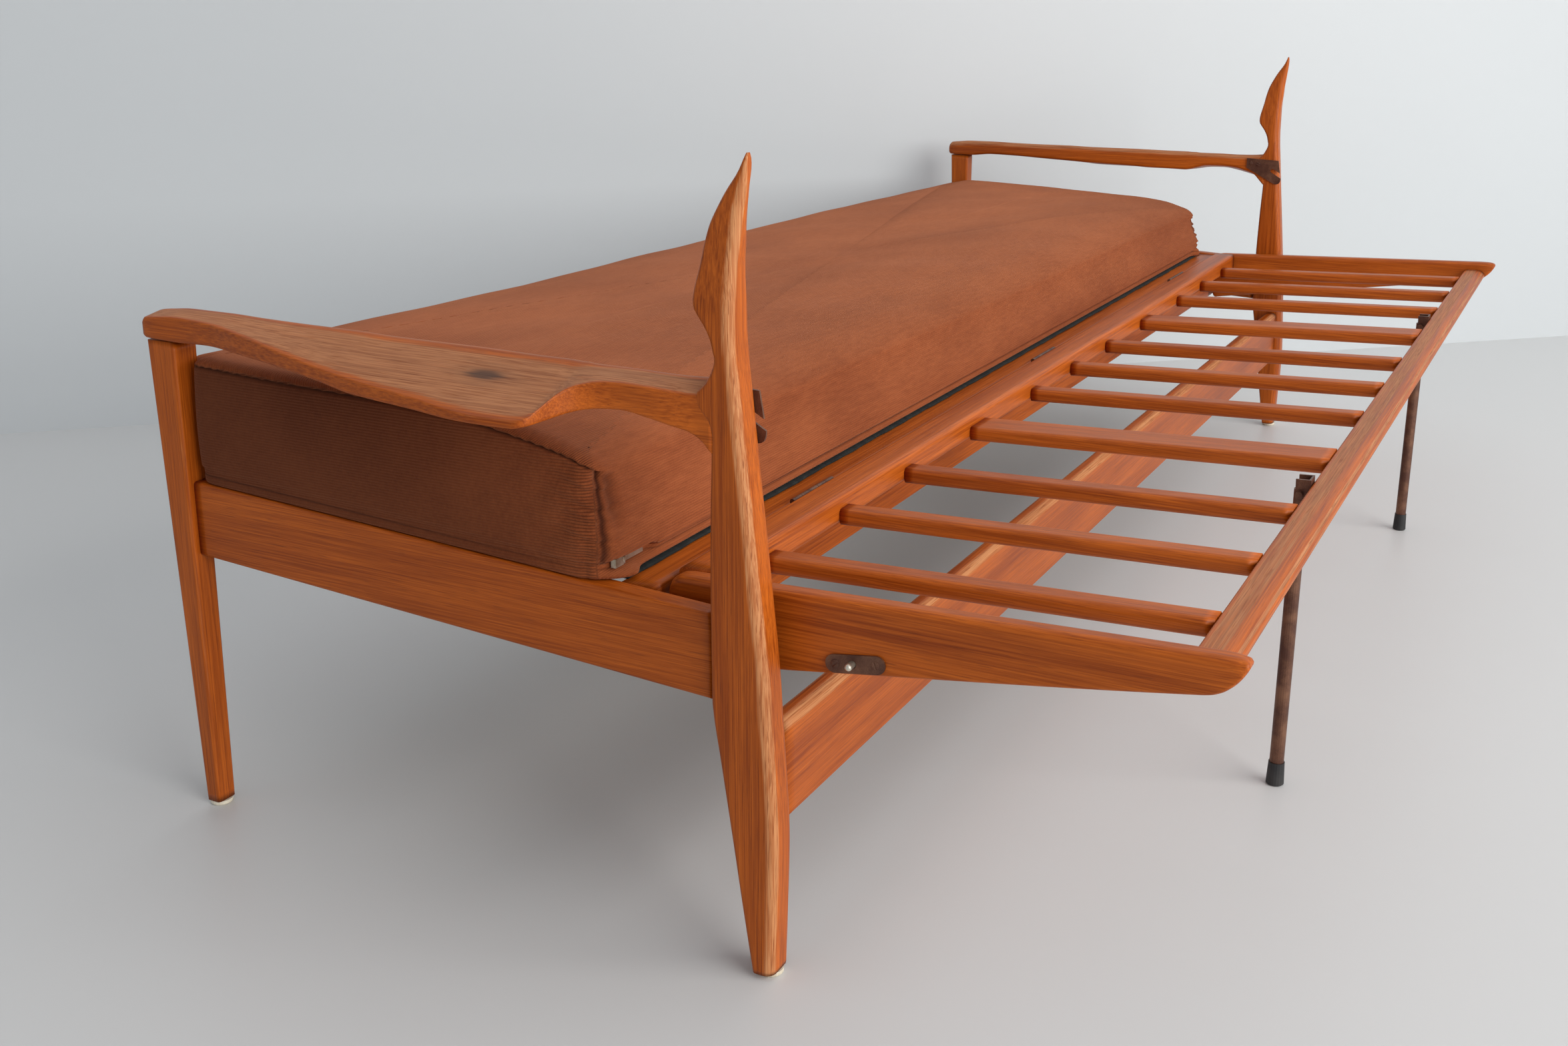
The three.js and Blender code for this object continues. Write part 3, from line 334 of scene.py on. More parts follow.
teakLook = {
    "deep": linear(132, 54, 4),
    "light": linear(198, 100, 26),
    "pore": linear(92, 38, 10),
    "bare": linear(204, 146, 98),
    "bareDeep": linear(176, 106, 60),
    "barePore": linear(118, 62, 30),
    "poreShare": 0.4,
    "wornShare": 0.8,
    "roughness": 0.42,
    "specular": 0.22,
    "coat": 0.03,
}
teak = woodMaterial("teak", teakLook)
# the arms and the outer rail are greyer where bare: real wear on their edges, and over their tops a
# mix of wear and a painted sheen of the pale sky
wornAndSheenLook = {**teakLook, "bare": linear(186, 130, 90), "bareDeep": linear(154, 100, 66)}
wornAndSheenTeak = woodMaterial("wornAndSheenTeak", wornAndSheenLook)
# the right arm has a dark knot on its pad
knot = {
    "place": (1.06, -0.103, 0.509),
    "sizes": (0.008, 0.021, 0.03),
    "colour": linear(64, 50, 44),
    "halo": linear(112, 72, 50),
}
knottyTeak = woodMaterial("knottyTeak", {**wornAndSheenLook, "knot": knot})

# display colours of the base and of its patches, metallic, roughness, and patches per metre
plainLooks = {
    "brownSteel": ((84, 52, 40), (126, 88, 66), 0.5, 0.45, 160),
    "paleSteel": ((214, 208, 192), (160, 148, 126), 0.85, 0.32, 200),
    "rubber": ((26, 25, 26), (48, 46, 46), 0.0, 0.6, 120),
    "nylon": ((226, 218, 198), (186, 172, 146), 0.0, 0.45, 90),
    "underlay": ((14, 18, 17), (34, 40, 37), 0.0, 0.95, 420),
    "deckWood": ((172, 124, 80), (196, 150, 104), 0.0, 0.65, 30),
}
plainMix = {
    "patches": (0.25, 3, 0.6),
    "grit": (6, 3, 0.6),
    "gritShare": 0.35,
    "ramp": (0.52, 0.92),
    "rough": 0.2,
    "bump": {"Strength": 0.25, "Distance": 0.0003},
}


def plainMaterial(name, base, other, metallic, roughness, scale):
    # one colour with soft patches of another and a fine grit
    material, tree, shader = newMaterial(name)
    here = put(tree, "TexCoord").outputs["Object"]
    share, *rest = plainMix["patches"]
    patches = noise(tree, here, scale * share, *rest)
    share, *rest = plainMix["grit"]
    grit = noise(tree, here, scale * share, *rest)
    tone = summed(tree, patches, (grit, plainMix["gritShare"]))
    colour = blended(tree, ramp(tree, tone, *plainMix["ramp"]), linear(*base), linear(*other))
    tree.links.new(colour, shader.inputs["Base Color"])
    shader.inputs["Metallic"].default_value = metallic
    rough = summed(tree, roughness - plainMix["rough"] / 2, (grit, plainMix["rough"]))
    tree.links.new(rough, shader.inputs["Roughness"])
    bump = put(tree, "Bump", {**plainMix["bump"], "Height": grit})
    tree.links.new(bump.outputs[0], shader.inputs["Normal"])
    return material


plain = {name: plainMaterial(name, *look) for name, look in plainLooks.items()}


clothLook = {
    "deep": linear(118, 56, 26),
    "light": linear(156, 84, 46),
    # the colour of the painted shade
    "shade": linear(48, 15, 4),
    "pitch": 0.0027,
    # scale along and across the piece where they differ, then the noise's detail and roughness
    "patches": (3.2, 8, 4, 0.6),
    "strokes": (40, 260, 3, 0.65),
    "fuzz": (850, 3, 0.7),
    "tone": {"fuzz": 0.35, "patches": 0.6, "strokes": 0.35, "ramp": (0.42, 0.88)},
    "furrow": (0.3, -0.9),
    "furrowShare": 0.75,
    "relief": {"ribs": 0.3, "ribbed": 0.7, "fuzz": 0.8},
    "bump": {"Strength": 0.6, "Distance": 0.0007},
    "shader": {
        "Roughness": 0.95,
        "Specular IOR Level": 0.2,
        "Sheen Weight": 0.4,
        "Sheen Roughness": 0.45,
        "Sheen Tint": linear(224, 150, 112),
    },
}


def clothMaterial(name, look):
    # fine-waled cord: soft clouds in the pile, ribs along the wale attribute with painted shade in
    # their furrows, and painted shade from the shade attribute in the seams, hollows and over the
    # ends
    material, tree, shader = newMaterial(name)
    here = put(tree, "TexCoord").outputs["Object"]
    wale = put(tree, "Attribute", attribute_name="wale").outputs["Fac"]
    shade = put(tree, "Attribute", attribute_name="shade").outputs["Fac"]
    ribbed = put(tree, "Attribute", attribute_name="ribbed").outputs["Fac"]
    along, across, *rest = look["patches"]
    patches = noise(tree, stretched(tree, here, along, across, across), 1, *rest)
    along, across, *rest = look["strokes"]
    strokes = noise(tree, stretched(tree, here, along, across, across), 1, *rest)
    fuzz = noise(tree, here, *look["fuzz"])
    mix = look["tone"]
    parts = (patches, mix["patches"]), (fuzz, mix["fuzz"]), (strokes, mix["strokes"])
    tone = summed(tree, 0, *parts)
    colour = blended(tree, ramp(tree, tone, *mix["ramp"]), look["deep"], look["light"])
    ribs = sums(tree, "SINE", sums(tree, "MULTIPLY", wale, 2 * np.pi / look["pitch"]))
    # painted shade in the furrows between the ribs
    furrow = sums(tree, "MULTIPLY", ramp(tree, ribs, *look["furrow"]), ribbed)
    furrow = sums(tree, "MULTIPLY", furrow, look["furrowShare"])
    colour = blended(tree, furrow, colour, look["shade"])
    # painted shade where the shade attribute says: seams, hollows and the ends' sides
    colour = blended(tree, shade, colour, look["shade"])
    tree.links.new(colour, shader.inputs["Base Color"])
    for key, value in look["shader"].items():
        shader.inputs[key].default_value = value
    mix = look["relief"]
    height = sums(tree, "MULTIPLY", ribs, summed(tree, mix["ribs"], (ribbed, mix["ribbed"])))
    height = summed(tree, height, (fuzz, mix["fuzz"]))
    bump = put(tree, "Bump", {**look["bump"], "Height": height})
    tree.links.new(bump.outputs[0], shader.inputs["Normal"])
    return material


cloth = clothMaterial("cordFabric", clothLook)
print("materials made")

ends = {"half": 1050, "postThickness": 34}
postInner = ends["half"] - ends["postThickness"]
post = {
    "foot": 5.3,
    "height": 700.5,
    "reach": 69.5,
    "radii": (4, 4, 9, 9),
    "tipLean": 3,
    "stations": 170,
    "gather": 0.012,  # how far the stations crowd together, as a share of the height
    "wear": (0.1, 0.25, 0.9, 0.25),
    "shares": [
        # height, front, back, thickness
        (0, 0.272, -0.011, 1),
        (0.0784, 0.396, -0.036, 1),
        (0.1754, 0.54, -0.058, 1),
        (0.2803, 0.701, -0.007, 1),
        (0.3348, 0.786, 0.032, 1),
        (0.3546, 0.803, 0.043, 1),
        (0.3882, 0.806, 0.065, 1),
        (0.4813, 0.81, 0.158, 1),
        (0.5892, 0.793, 0.273, 1),
        (0.6545, 0.772, 0.345, 1),
        # a haunch that the arm runs into
        (0.68, 0.768, 0.372, 1),
        (0.7, 0.82, 0.393, 1),
        (0.713, 0.93, 0.406, 1),
        (0.722, 0.97, 0.415, 1),
        (0.7317, 0.95, 0.426, 1),
        (0.7403, 0.86, 0.435, 1),
        (0.752, 0.785, 0.448, 1),
        (0.762, 0.74, 0.46, 1),
        (0.771, 0.72, 0.469, 1),
        (0.7802, 0.741, 0.475, 1),
        (0.7921, 0.77, 0.483, 1),
        (0.807, 0.843, 0.489, 0.99),
        (0.8198, 0.935, 0.489, 0.98),
        (0.8278, 0.987, 0.489, 0.96),
        (0.8357, 1, 0.489, 0.95),
        (0.8456, 0.993, 0.489, 0.91),
        (0.8584, 0.967, 0.489, 0.86),
        (0.8782, 0.921, 0.482, 0.78),
        (0.901, 0.878, 0.46, 0.69),
        (0.9218, 0.82, 0.446, 0.62),
        (0.9406, 0.734, 0.424, 0.54),
        (0.9594, 0.633, 0.403, 0.45),
        (0.9733, 0.54, 0.391, 0.39),
        (0.9852, 0.469, 0.384, 0.34),
        (0.9931, 0.437, 0.383, 0.26),
        (1, 0.416, 0.39, 0.12),
    ],
}


def upright(outline, z):
    # outlines of (x, y) as rings at heights z
    return np.concatenate([outline, np.broadcast_to(z[:, None, None], outline[..., :1].shape)], -1)


def lengthwise(outline, y):
    # outlines of (x, z) as rings at places y
    depth = np.broadcast_to(np.reshape(y, (-1, 1)), (len(y), outline.shape[-2]))
    x, z = (np.broadcast_to(outline[..., k], depth.shape) for k in (0, 1))
    return np.stack([x, depth, z], -1)


def postFrontAt(z):
    share = (np.atleast_1d(z) - post["foot"]) / (post["height"] - post["foot"])
    return -through(post["shares"], share)[:, 0] * post["reach"]


def postRings():
    share = np.linspace(0, 1, post["stations"])
    share = share + post["gather"] * np.sin(2 * np.pi * share) / (2 * np.pi)
    front, back, width = through(post["shares"], share).T
    middle = ends["half"] - ends["postThickness"] / 2 - post["tipLean"] * (1 - width)
    halfWidth = ends["postThickness"] * width / 2
    reach = post["reach"]
    corners = boxCorners(middle - halfWidth, middle + halfWidth, -front * reach, -back * reach)
    outline = rounded(corners, post["radii"])
    return upright(outline, post["foot"] + (post["height"] - post["foot"]) * share)


for side, sign in sides:
    rings = inPlace(postRings() * (sign, 1, 1))
    timber(f"post_{side}", rings, 2, edgeWear(*post["wear"]), "frame", f"back_post_{side}", teak)

leg = {
    "front": -686,
    "depth": 36,
    "width": 30,
    "footDepth": 18,
    "footWidth": 23,
    "footSetback": 15,
    "foot": 5.3,
    "top": 495.86,
    "radius": 3.5,
    "stations": 60,
    "wear": (0.2, 0.35, 0.5, 0.2),
}


def legAt(z):
    share = (np.asarray(z) - leg["foot"]) / (leg["top"] - leg["foot"])
    front = leg["front"] + leg["footSetback"] * (1 - share)
    back = front + leg["footDepth"] + (leg["depth"] - leg["footDepth"]) * share
    inner = ends["half"] - leg["footWidth"] - (leg["width"] - leg["footWidth"]) * share
    return inner, front, back


def legRings():
    z = np.linspace(leg["foot"], leg["top"], leg["stations"])
    inner, front, back = legAt(z)
    return upright(rounded(boxCorners(inner, ends["half"], front, back), leg["radius"]), z)


for side, sign in sides:
    rings = inPlace(legRings() * (sign, 1, 1))
    timber(f"leg_{side}", rings, 2, edgeWear(*leg["wear"]), "frame", f"front_leg_{side}", teak)

arm = {
    "height": 525,
    "thickness": 28,
    "reach": 62,
    "front": -690,
    "back": -51,  # inside the post's haunch
    "crest": 14,
    "radii": (6, 2.5, 2.5, 10),
    "stations": 150,
    "frontStations": (0.03, 12),  # more of them near the rounded front end
    "wear": (0.1, 0.3, 0.5, 0.7),
    "topWearAndSheen": 0.76,
    "shares": [
        # place, inner and outer side, drops of crest, outer top, outer bottom, inner bottom
        (0.0, 0.048, -0.016, 0.29, 0.39, 0.93, 0.93),
        (0.006, 0.023, 0.0, 0.14, 0.26, 0.98, 0.98),
        (0.031, 0, 0.016, 0.07, 0.2, 1, 1),
        (0.071, 0, 0.016, 0, 0.14, 1.02, 1),
        (0.144, 0, 0.065, 0, 0.18, 0.96, 0.86),
        (0.215, 0, 0.194, 0.04, 0.32, 1.02, 0.89),
        (0.317, 0, 0.387, 0.07, 0.61, 1.14, 1),
        (0.393, 0, 0.516, 0.07, 0.84, 1.3, 1.07),
        (0.47, 0, 0.645, 0.11, 1, 1.5, 1.14),
        (0.599, 0, 0.839, 0.11, 1.18, 1.57, 1.23),
        (0.658, 0, 0.935, 0.12, 1.3, 1.61, 1.29),
        (0.716, 0, 1, 0.14, 1.34, 1.59, 1.3),
        (0.762, 0, 1, 0.14, 1.32, 1.57, 1.32),
        (0.782, 0, 0.935, 0.16, 1.25, 1.48, 1.25),
        (0.792, 0, 0.661, 0.16, 0.93, 1.41, 1.18),
        (0.803, 0, 0.419, 0.18, 0.62, 1.32, 1.11),
        (0.818, 0, 0.242, 0.18, 0.48, 1.25, 1),
        (0.839, 0, 0.145, 0.18, 0.39, 1.2, 0.96),
        (0.87, 0, 0.097, 0.18, 0.36, 1.18, 0.95),
        (0.909, 0, 0.081, 0.2, 0.39, 1.32, 1),
        (0.94, 0.004, 0.05, 0.2, 0.45, 1.48, 1.18),
        (0.964, 0.006, 0.012, 0.18, 0.5, 1.61, 1.36),
        (0.983, 0.006, -0.006, 0.14, 0.5, 1.82, 1.82),
        (0.993, 0.006, -0.006, 0.11, 0.42, 2.07, 2.07),
        (1, 0.006, -0.006, 0.11, 0.4, 2.2, 2.2),
    ],
}


def armRings():
    share = [np.linspace(0, 1, arm["stations"]), np.linspace(0, *arm["frontStations"])]
    share = np.unique(np.concatenate(share))
    inner, outer, *drops = through(arm["shares"], share).T
    y = arm["front"] + (arm["back"] - arm["front"]) * share
    left = postInner + inner * arm["reach"]
    right = ends["half"] + outer * arm["reach"]
    crest, outerTop, outerBottom, innerBottom = arm["height"] - np.array(drops) * arm["thickness"]
    slope = (crest - outerTop) / (right - left - arm["crest"])
    top = crest + slope * arm["crest"]
    corners = cornersOf((left, innerBottom), (right, outerBottom), (right, outerTop), (left, top))
    return lengthwise(rounded(corners, arm["radii"]), y)


for side, sign in sides:
    wear = edgeWear(*arm["wear"])
    # the top's greyer bare colour is partly wear and partly a painted sheen of the pale sky
    wear[0, flatAfter(2)] = arm["topWearAndSheen"]
    finish = knottyTeak if side == "right" else wornAndSheenTeak
    rings = inPlace(armRings() * (sign, 1, 1))
    timber(f"arm_{side}_piece", rings, 1, wear, "frame", f"arm_{side}", finish)
print("end frames made")

seat = {
    "height": 354,
    "rake": np.tan(np.radians(2.8)),
    "railHeight": 77,
    "railOuter": 1042,
    "railInner": 1020,
    "railRadius": 4,
    "railEnds": (320, -55),  # the height at the leg, and the place at the post, that set its tops
    "stations": 60,
    "wear": (0.1, 0.25, 0.35, 0.3),
}


def seatTopAt(y):
    return seat["height"] - (np.asarray(y) + 650) * seat["rake"]


def bar(corners, radii, endAt, stations=80):
    # a bar along X between x = -endAt and x = endAt, over the corners of its (y, z) section
    ring = rounded(np.array(corners, float)[None], radii)[0]
    x = np.linspace(-endAt, endAt, stations)[:, None, None]
    shape = (stations, len(ring))
    return np.concatenate([np.broadcast_to(x, (*shape, 1)), np.broadcast_to(ring, (*shape, 2))], -1)


for side, sign in sides:
    tops = seatTopAt([legAt(seat["railEnds"][0])[2] + gap, seat["railEnds"][1]])
    section = boxCorners(seat["railInner"], seat["railOuter"], tops - seat["railHeight"], tops)
    near, far = rounded(section, seat["railRadius"])
    near = np.stack([near[:, 0], legAt(near[:, 1])[2] + gap, near[:, 1]], -1)
    far = np.stack([far[:, 0], postFrontAt(far[:, 1]) - gap, far[:, 1]], -1)
    rings = near + np.linspace(0, 1, seat["stations"])[:, None, None] * (far - near)
    rings = inPlace(rings * (sign, 1, 1))
    wear = edgeWear(*seat["wear"])
    timber(f"seat_rail_{side}", rings, 1, wear, "frame", f"seat_end_rail_{side}", teak)

# the lengthwise rails' sections, edge radii, half lengths, wear and CAD nodes
rails = {
    "hinge": {
        "y": (-164.8, -132.8),
        "z": (250.976, 326.976),
        "radii": (2, 2, 6, 2),
        "end": seat["railInner"] - gap,
        "wear": (0, 0, 0.4, 0.1),
        "node": "seat_hinge_rail",
    },
    "stretcher": {
        "y": (-30, -8),
        "z": (134, 225),
        "radii": (2, 2, 9, 9),
        "end": postInner - gap,
        "wear": (0, 0, 0.8, 0.7),
        "node": "back_stretcher",
    },
    "front": {
        "y": (-678, -656),
        "z": (277, 351.29),
        "radii": (2, 2, 2, 2),
        "end": legAt(277)[0] - gap,
        "wear": (0, 0, 0.2, 0.2),
        "node": "seat_front_rail",
    },
}
for name, rail in rails.items():
    rings = inPlace(bar(boxCorners(*rail["y"], *rail["z"]), rail["radii"], rail["end"]))
    timber(f"{name}_rail", rings, 0, edgeWear(*rail["wear"]), "frame", rail["node"], teak)
print("seat made")

back = {
    "depth": 495.5,
    "rise": 4.5,
    "drop": 85.5,
    "outer": 1002,
    "inner": 980,
    "radii": (3.5, 3.5, 7, 7),
    "wear": (0.1, 0.3, 0.35, 0.2),
    # stations are closer together at both ends
    "stations": ((0.0067, 0.05, 18), (0.06, 0.9, 50), (0.91, 1, 28)),
    "shares": [
        # place, drop of top, drop of bottom, thickness
        (0.0067, 0.21, 0.87, 0.6),
        (0.01, 0.12, 0.94, 0.8),
        (0.018, 0.05, 0.975, 0.95),
        (0.032, 0.01, 0.967, 1),
        (0.048, 0, 0.955, 1),
        (0.918, 0, 0.39, 1),
        (0.944, 0, 0.368, 1),
        (0.961, 0.002, 0.332, 0.99),
        (0.977, 0.006, 0.265, 0.96),
        (0.988, 0.014, 0.198, 0.9),
        (0.995, 0.028, 0.14, 0.8),
        (0.9985, 0.045, 0.105, 0.68),
        (1, 0.06, 0.085, 0.55),
    ],
}


def backEndRings():
    share = np.concatenate([np.linspace(*part) for part in back["stations"]])
    top, bottom, width = through(back["shares"], share).T
    middle = (back["outer"] + back["inner"]) / 2
    halfWidth = (back["outer"] - back["inner"]) * width / 2
    bottom, top = (back["rise"] - drop * back["drop"] for drop in (bottom, top))
    corners = boxCorners(middle - halfWidth, middle + halfWidth, bottom, top)
    return lengthwise(rounded(corners, back["radii"]), share * back["depth"])


for side, sign in sides:
    rings = inBack(backEndRings() * (sign, 1, 1))
    wear = edgeWear(*back["wear"])
    timber(f"back_end_{side}", rings, 1, wear, "back", f"back_end_rail_{side}", teak)

innerRail = {"y": (3.3, 42.8), "z": (-23.5, 4.5), "radii": 6, "wear": (0, 0, 0.3, 0.3)}
section = boxCorners(*innerRail["y"], *innerRail["z"])
rings = inBack(bar(section, innerRail["radii"], back["inner"] - gap))
timber("inner_rail", rings, 0, edgeWear(*innerRail["wear"]), "back", "back_inner_rail", teak)

outerRail = {
    "corners": [(447, -28), (470.2, -28), (483.5, -17.47), (472.55, -8.5), (447, -8.5)],
    "radii": (3, 8, 5, 12, 3),
    "wear": (0, 0.2, 0.6, 0.5, 0.15),
    "bevelWear": 0.75,  # on the slope outside the ridge
    "topWearAndSheen": 0.66,
}
wear = edgeWear(*outerRail["wear"])
wear[0, flatAfter(2)] = outerRail["bevelWear"]
# the top's greyer bare colour is partly wear and partly a painted sheen of the pale sky
wear[0, flatAfter(3)] = outerRail["topWearAndSheen"]
rings = inBack(bar(outerRail["corners"], outerRail["radii"], back["inner"] - gap))
timber("outer_rail", rings, 0, wear, "back", "back_outer_rail", wornAndSheenTeak)

slat = {
    "places": (0, 0.166, 0.369, 0.58, 0.743, 0.902),
    "width": 27,
    "broad": 55.6,
    "broadOne": 2,
    "z": (-25, -8),
    "y": (innerRail["y"][1] + gap, outerRail["corners"][0][0] - gap),
    "radius": 6,
    "stations": 40,
    "wear": (0.05, 0.05, 0.25, 0.25),
}
places = list(enumerate(slat["places"]))
places = [(index, -place) for index, place in places[:0:-1]] + places
for number, (index, place) in enumerate(places, 1):
    middle = place * back["inner"]
    half = (slat["broad"] if index == slat["broadOne"] else slat["width"]) / 2
    outline = rounded(boxCorners(middle - half, middle + half, *slat["z"]), slat["radius"])
    rings = inBack(lengthwise(outline, np.linspace(*slat["y"], slat["stations"])))
    wear = edgeWear(*slat["wear"])
    timber(f"slat_{number:02d}", rings, 1, wear, "back", f"back_slat_{number}", teak)
print("hinged back made")

mattressForm = {
    "right": 1040,
    "left": -1005,
    "front": -687,
    "rear": -171,
    "corner": 22,
    "cornerPoints": 26,
    # the spacing of points beside a corner and elsewhere, how far the first goes, its start
    "spacing": {"near": 3.2, "far": 9, "reach": 60, "first": 3.0},
    "notch": (1018.5, -648.5),  # the right front corner is notched around the front leg
    "bottom": 0.6,
    "height": 120,
    "crown": 14,
    "endPower": 3.5,
    "edgeInset": 16,
    "edgeRise": 8,
    "softInset": 24,  # more of it along the rear, where one panel rolls over
    "top": [
        # depth, height at the right end, in the middle and at the left end
        (0, 0.83, 0.725, 0.62),
        (0.05, 0.94, 0.735, 0.67),
        (0.11, 0.985, 0.742, 0.72),
        (0.33, 0.995, 0.738, 0.738),
        (0.56, 1.015, 0.742, 0.742),
        (0.74, 0.99, 0.757, 0.757),
        (0.88, 0.935, 0.725, 0.725),
        (0.95, 0.88, 0.663, 0.663),
        (1, 0.79, 0.6, 0.6),
    ],
    "underScales": (0.1, 0.25, 0.55, 0.8, 0.93, 1),
    # swell and height of the foot's rings, then shares of the height of the sides' rings
    "foot": [
        *((-16, 0), (-11, 0), (-5, 0), (-2, 0.3), (-0.5, 1.2), (0.3, 3)),
        *((0.3, 5.5), (0.3, 8), (0.2, 9.5), (0.3, 11), (0.3, 13), (0.3, 15)),
    ],
    "sides": [*np.linspace(0.15, 0.9, 27), 0.94, 0.97, 0.985],
    # how far outwards a point faces where an end or the rear starts, and where it is full
    "endTurn": (0.55, 0.9),
    "rearTurn": (0.3, 0.95),
    # each "over" is where, over the height in millimetres or as a share, a form fades in or out
    "belly": {"depth": 3.2, "power": 0.8},  # how far the sides swell
    "drape": {"depth": 9, "over": (0.3, 1), "power": 1.5, "fromEnds": 90},  # the rear leans in
    "rearBulge": {"depth": 8, "over": (100, 30)},
    "footEdge": (0, 1.5),
    # beside the corner seam the rear's foot bulges, and its last part is tucked in
    "ear": {"depth": 10, "from": 22, "reach": 15, "over": (17, 9)},
    "tuck": {"depth": 5, "reach": 12, "over": (55, 0)},
    # the bulges stop around the zip's slider
    "zip": {"x": 1001, "rise": 14.5, "swell": 0.2, "alongFade": (46, 32), "upFade": (8.5, 5.5)},
    "seamPlaces": (0.62, 0.38, 0.62),  # on the turns of the rear right, rear left and front left
    # the seams' shades and the hollow's shade below are painted shade in the grooves and hollows
    "seam": {"depth": 2.6, "width": 2.6, "shade": 0.85},
    "lowSeam": {"rise": 9.5, "depth": 1.4, "shade": 0.5},
    "topSeam": {"rise": 0.4, "shade": 0.9},
    "dimple": {"depth": 4, "reach": 7, "over": (0.72, 0.97)},
    "hollow": {"from": 13, "reach": 9, "depth": 4.5, "over": ((0.3, 0.7), (1, 0.9))},
    "hollowShade": {"most": 0.55, "over": ((0.35, 0.75), (1.02, 0.9))},
    "pucker": {"depth": 1.9, "pitch": 17, "reach": 28, "second": 0.6, "faster": 1.63},
    "puckersOver": (0.1, 0.3),
    # how the puckers and gathers drift around: depth, length over 2 pi and phase of two waves
    "drift": ((1.7, 37, 0), (0.9, 13.7, 1)),
    "ripple": {"depth": 1.8, "fade": 60, "rise": 55, "along": 45},
    "gather": {"depth": 0.9, "pitch": 11, "fade": 3},
    "edgeTurns": (0.1, 1, 10),  # the rings over the upper edge, as shares of its quarter turn
    "scales": (44, 1.25, 0.006),  # how many rings cross the top, their crowding, and the last one
    "slack": {"depths": (0.9, 0.7, 0.35), "over": (60, 100)},
    "topMargin": 2,
    "ribbed": {"least": 0.15, "reach": 30},
    # how dark the painted shade over the ends' sides gets, and how far from the corner seams it
    # takes to grow
    "endShade": {"most": 0.68, "reach": 110},
    "darkest": 0.95,
}


def mattressBottomAt(y):
    return seatTopAt(y) + mattressForm["bottom"]


def mattressTopAt(x, y):
    m = mattressForm
    depth = np.clip((y - m["front"]) / (m["rear"] - m["front"]), 0, 1)
    length = np.clip((x - m["left"]) / (m["right"] - m["left"]), 0, 1)
    right, centre, left = through(m["top"], depth.ravel()).T.reshape(3, *depth.shape)
    share = centre + (right - centre) * length ** m["endPower"]
    share += (left - centre) * (1 - length) ** m["endPower"]
    crown = m["crown"] * (1 - abs(2 * depth - 1) ** 3) * (1 - abs(2 * length - 1) ** 3)
    return mattressBottomAt(y) + m["height"] * share + crown


def smooth(value, low, high):
    t = np.clip((value - low) / (high - low), 0, 1)
    return t * t * (3 - 2 * t)


def bell(value, middle, width):
    return np.exp(-(((value - middle) / width) ** 2))


def mattressPlan():
    # points round an oblong notched at one corner: for each, its core, its outward direction
    # and how far along its corner's turn it lies (0 to 1, or -1 off the round corners)
    m = mattressForm
    x = (m["right"] - m["left"]) / 2 - m["corner"]
    y = (m["rear"] - m["front"]) / 2 - m["corner"]
    notchX = m["notch"][0] - (m["right"] + m["left"]) / 2 - m["corner"]
    notchY = m["notch"][1] - (m["rear"] + m["front"]) / 2 + m["corner"]
    right, left, front, rear = (1, 0), (-1, 0), (0, -1), (0, 1)
    # each corner's core and the outward directions of the sides before and after it; the
    # fifth is the notch's inner corner
    corners = [
        ((x, y), right, rear),
        ((-x, y), rear, left),
        ((-x, -y), left, front),
        ((notchX, -y), front, right),
        ((notchX, notchY), right, front),
        ((x, notchY), front, right),
    ]
    spacing = m["spacing"]
    core, out, turn = [], [], []
    for index, (here, before, after) in enumerate(corners):
        here, before, after = (np.array(v, float) for v in (here, before, after))
        following = np.array(corners[(index + 1) % 6][0], float)
        if index == 4:
            q, arc = -np.ones(1), (before + after)[None]
        else:
            q = np.linspace(0, 1, m["cornerPoints"])
            arc = np.cos(q * np.pi / 2)[:, None] * before + np.sin(q * np.pi / 2)[:, None] * after
        if index > 2:
            q = -np.ones(len(q))
        core.append(np.repeat(here[None], len(q), 0))
        out.append(arc)
        turn.append(q)
        # closer together near the corners, where the puckers are
        start, end = here + after * m["corner"], following + after * m["corner"]
        span = np.linalg.norm(end - start)
        reach = spacing["reach"]
        steps = np.arange(spacing["first"], min(reach, span / 2 - 1), spacing["near"])
        count = int(span / spacing["far"]) + 2 if span > 2 * reach + 10 else 0
        middle = np.linspace(reach, span - reach, count)
        distance = np.concatenate([steps, middle, span - steps[::-1]])[:, None] / span
        core.append(here + distance * (following - here))
        out.append(np.repeat(after[None], len(distance), 0))
        turn.append(-np.ones(len(distance)))
    return np.concatenate(core), np.concatenate(out), np.concatenate(turn)


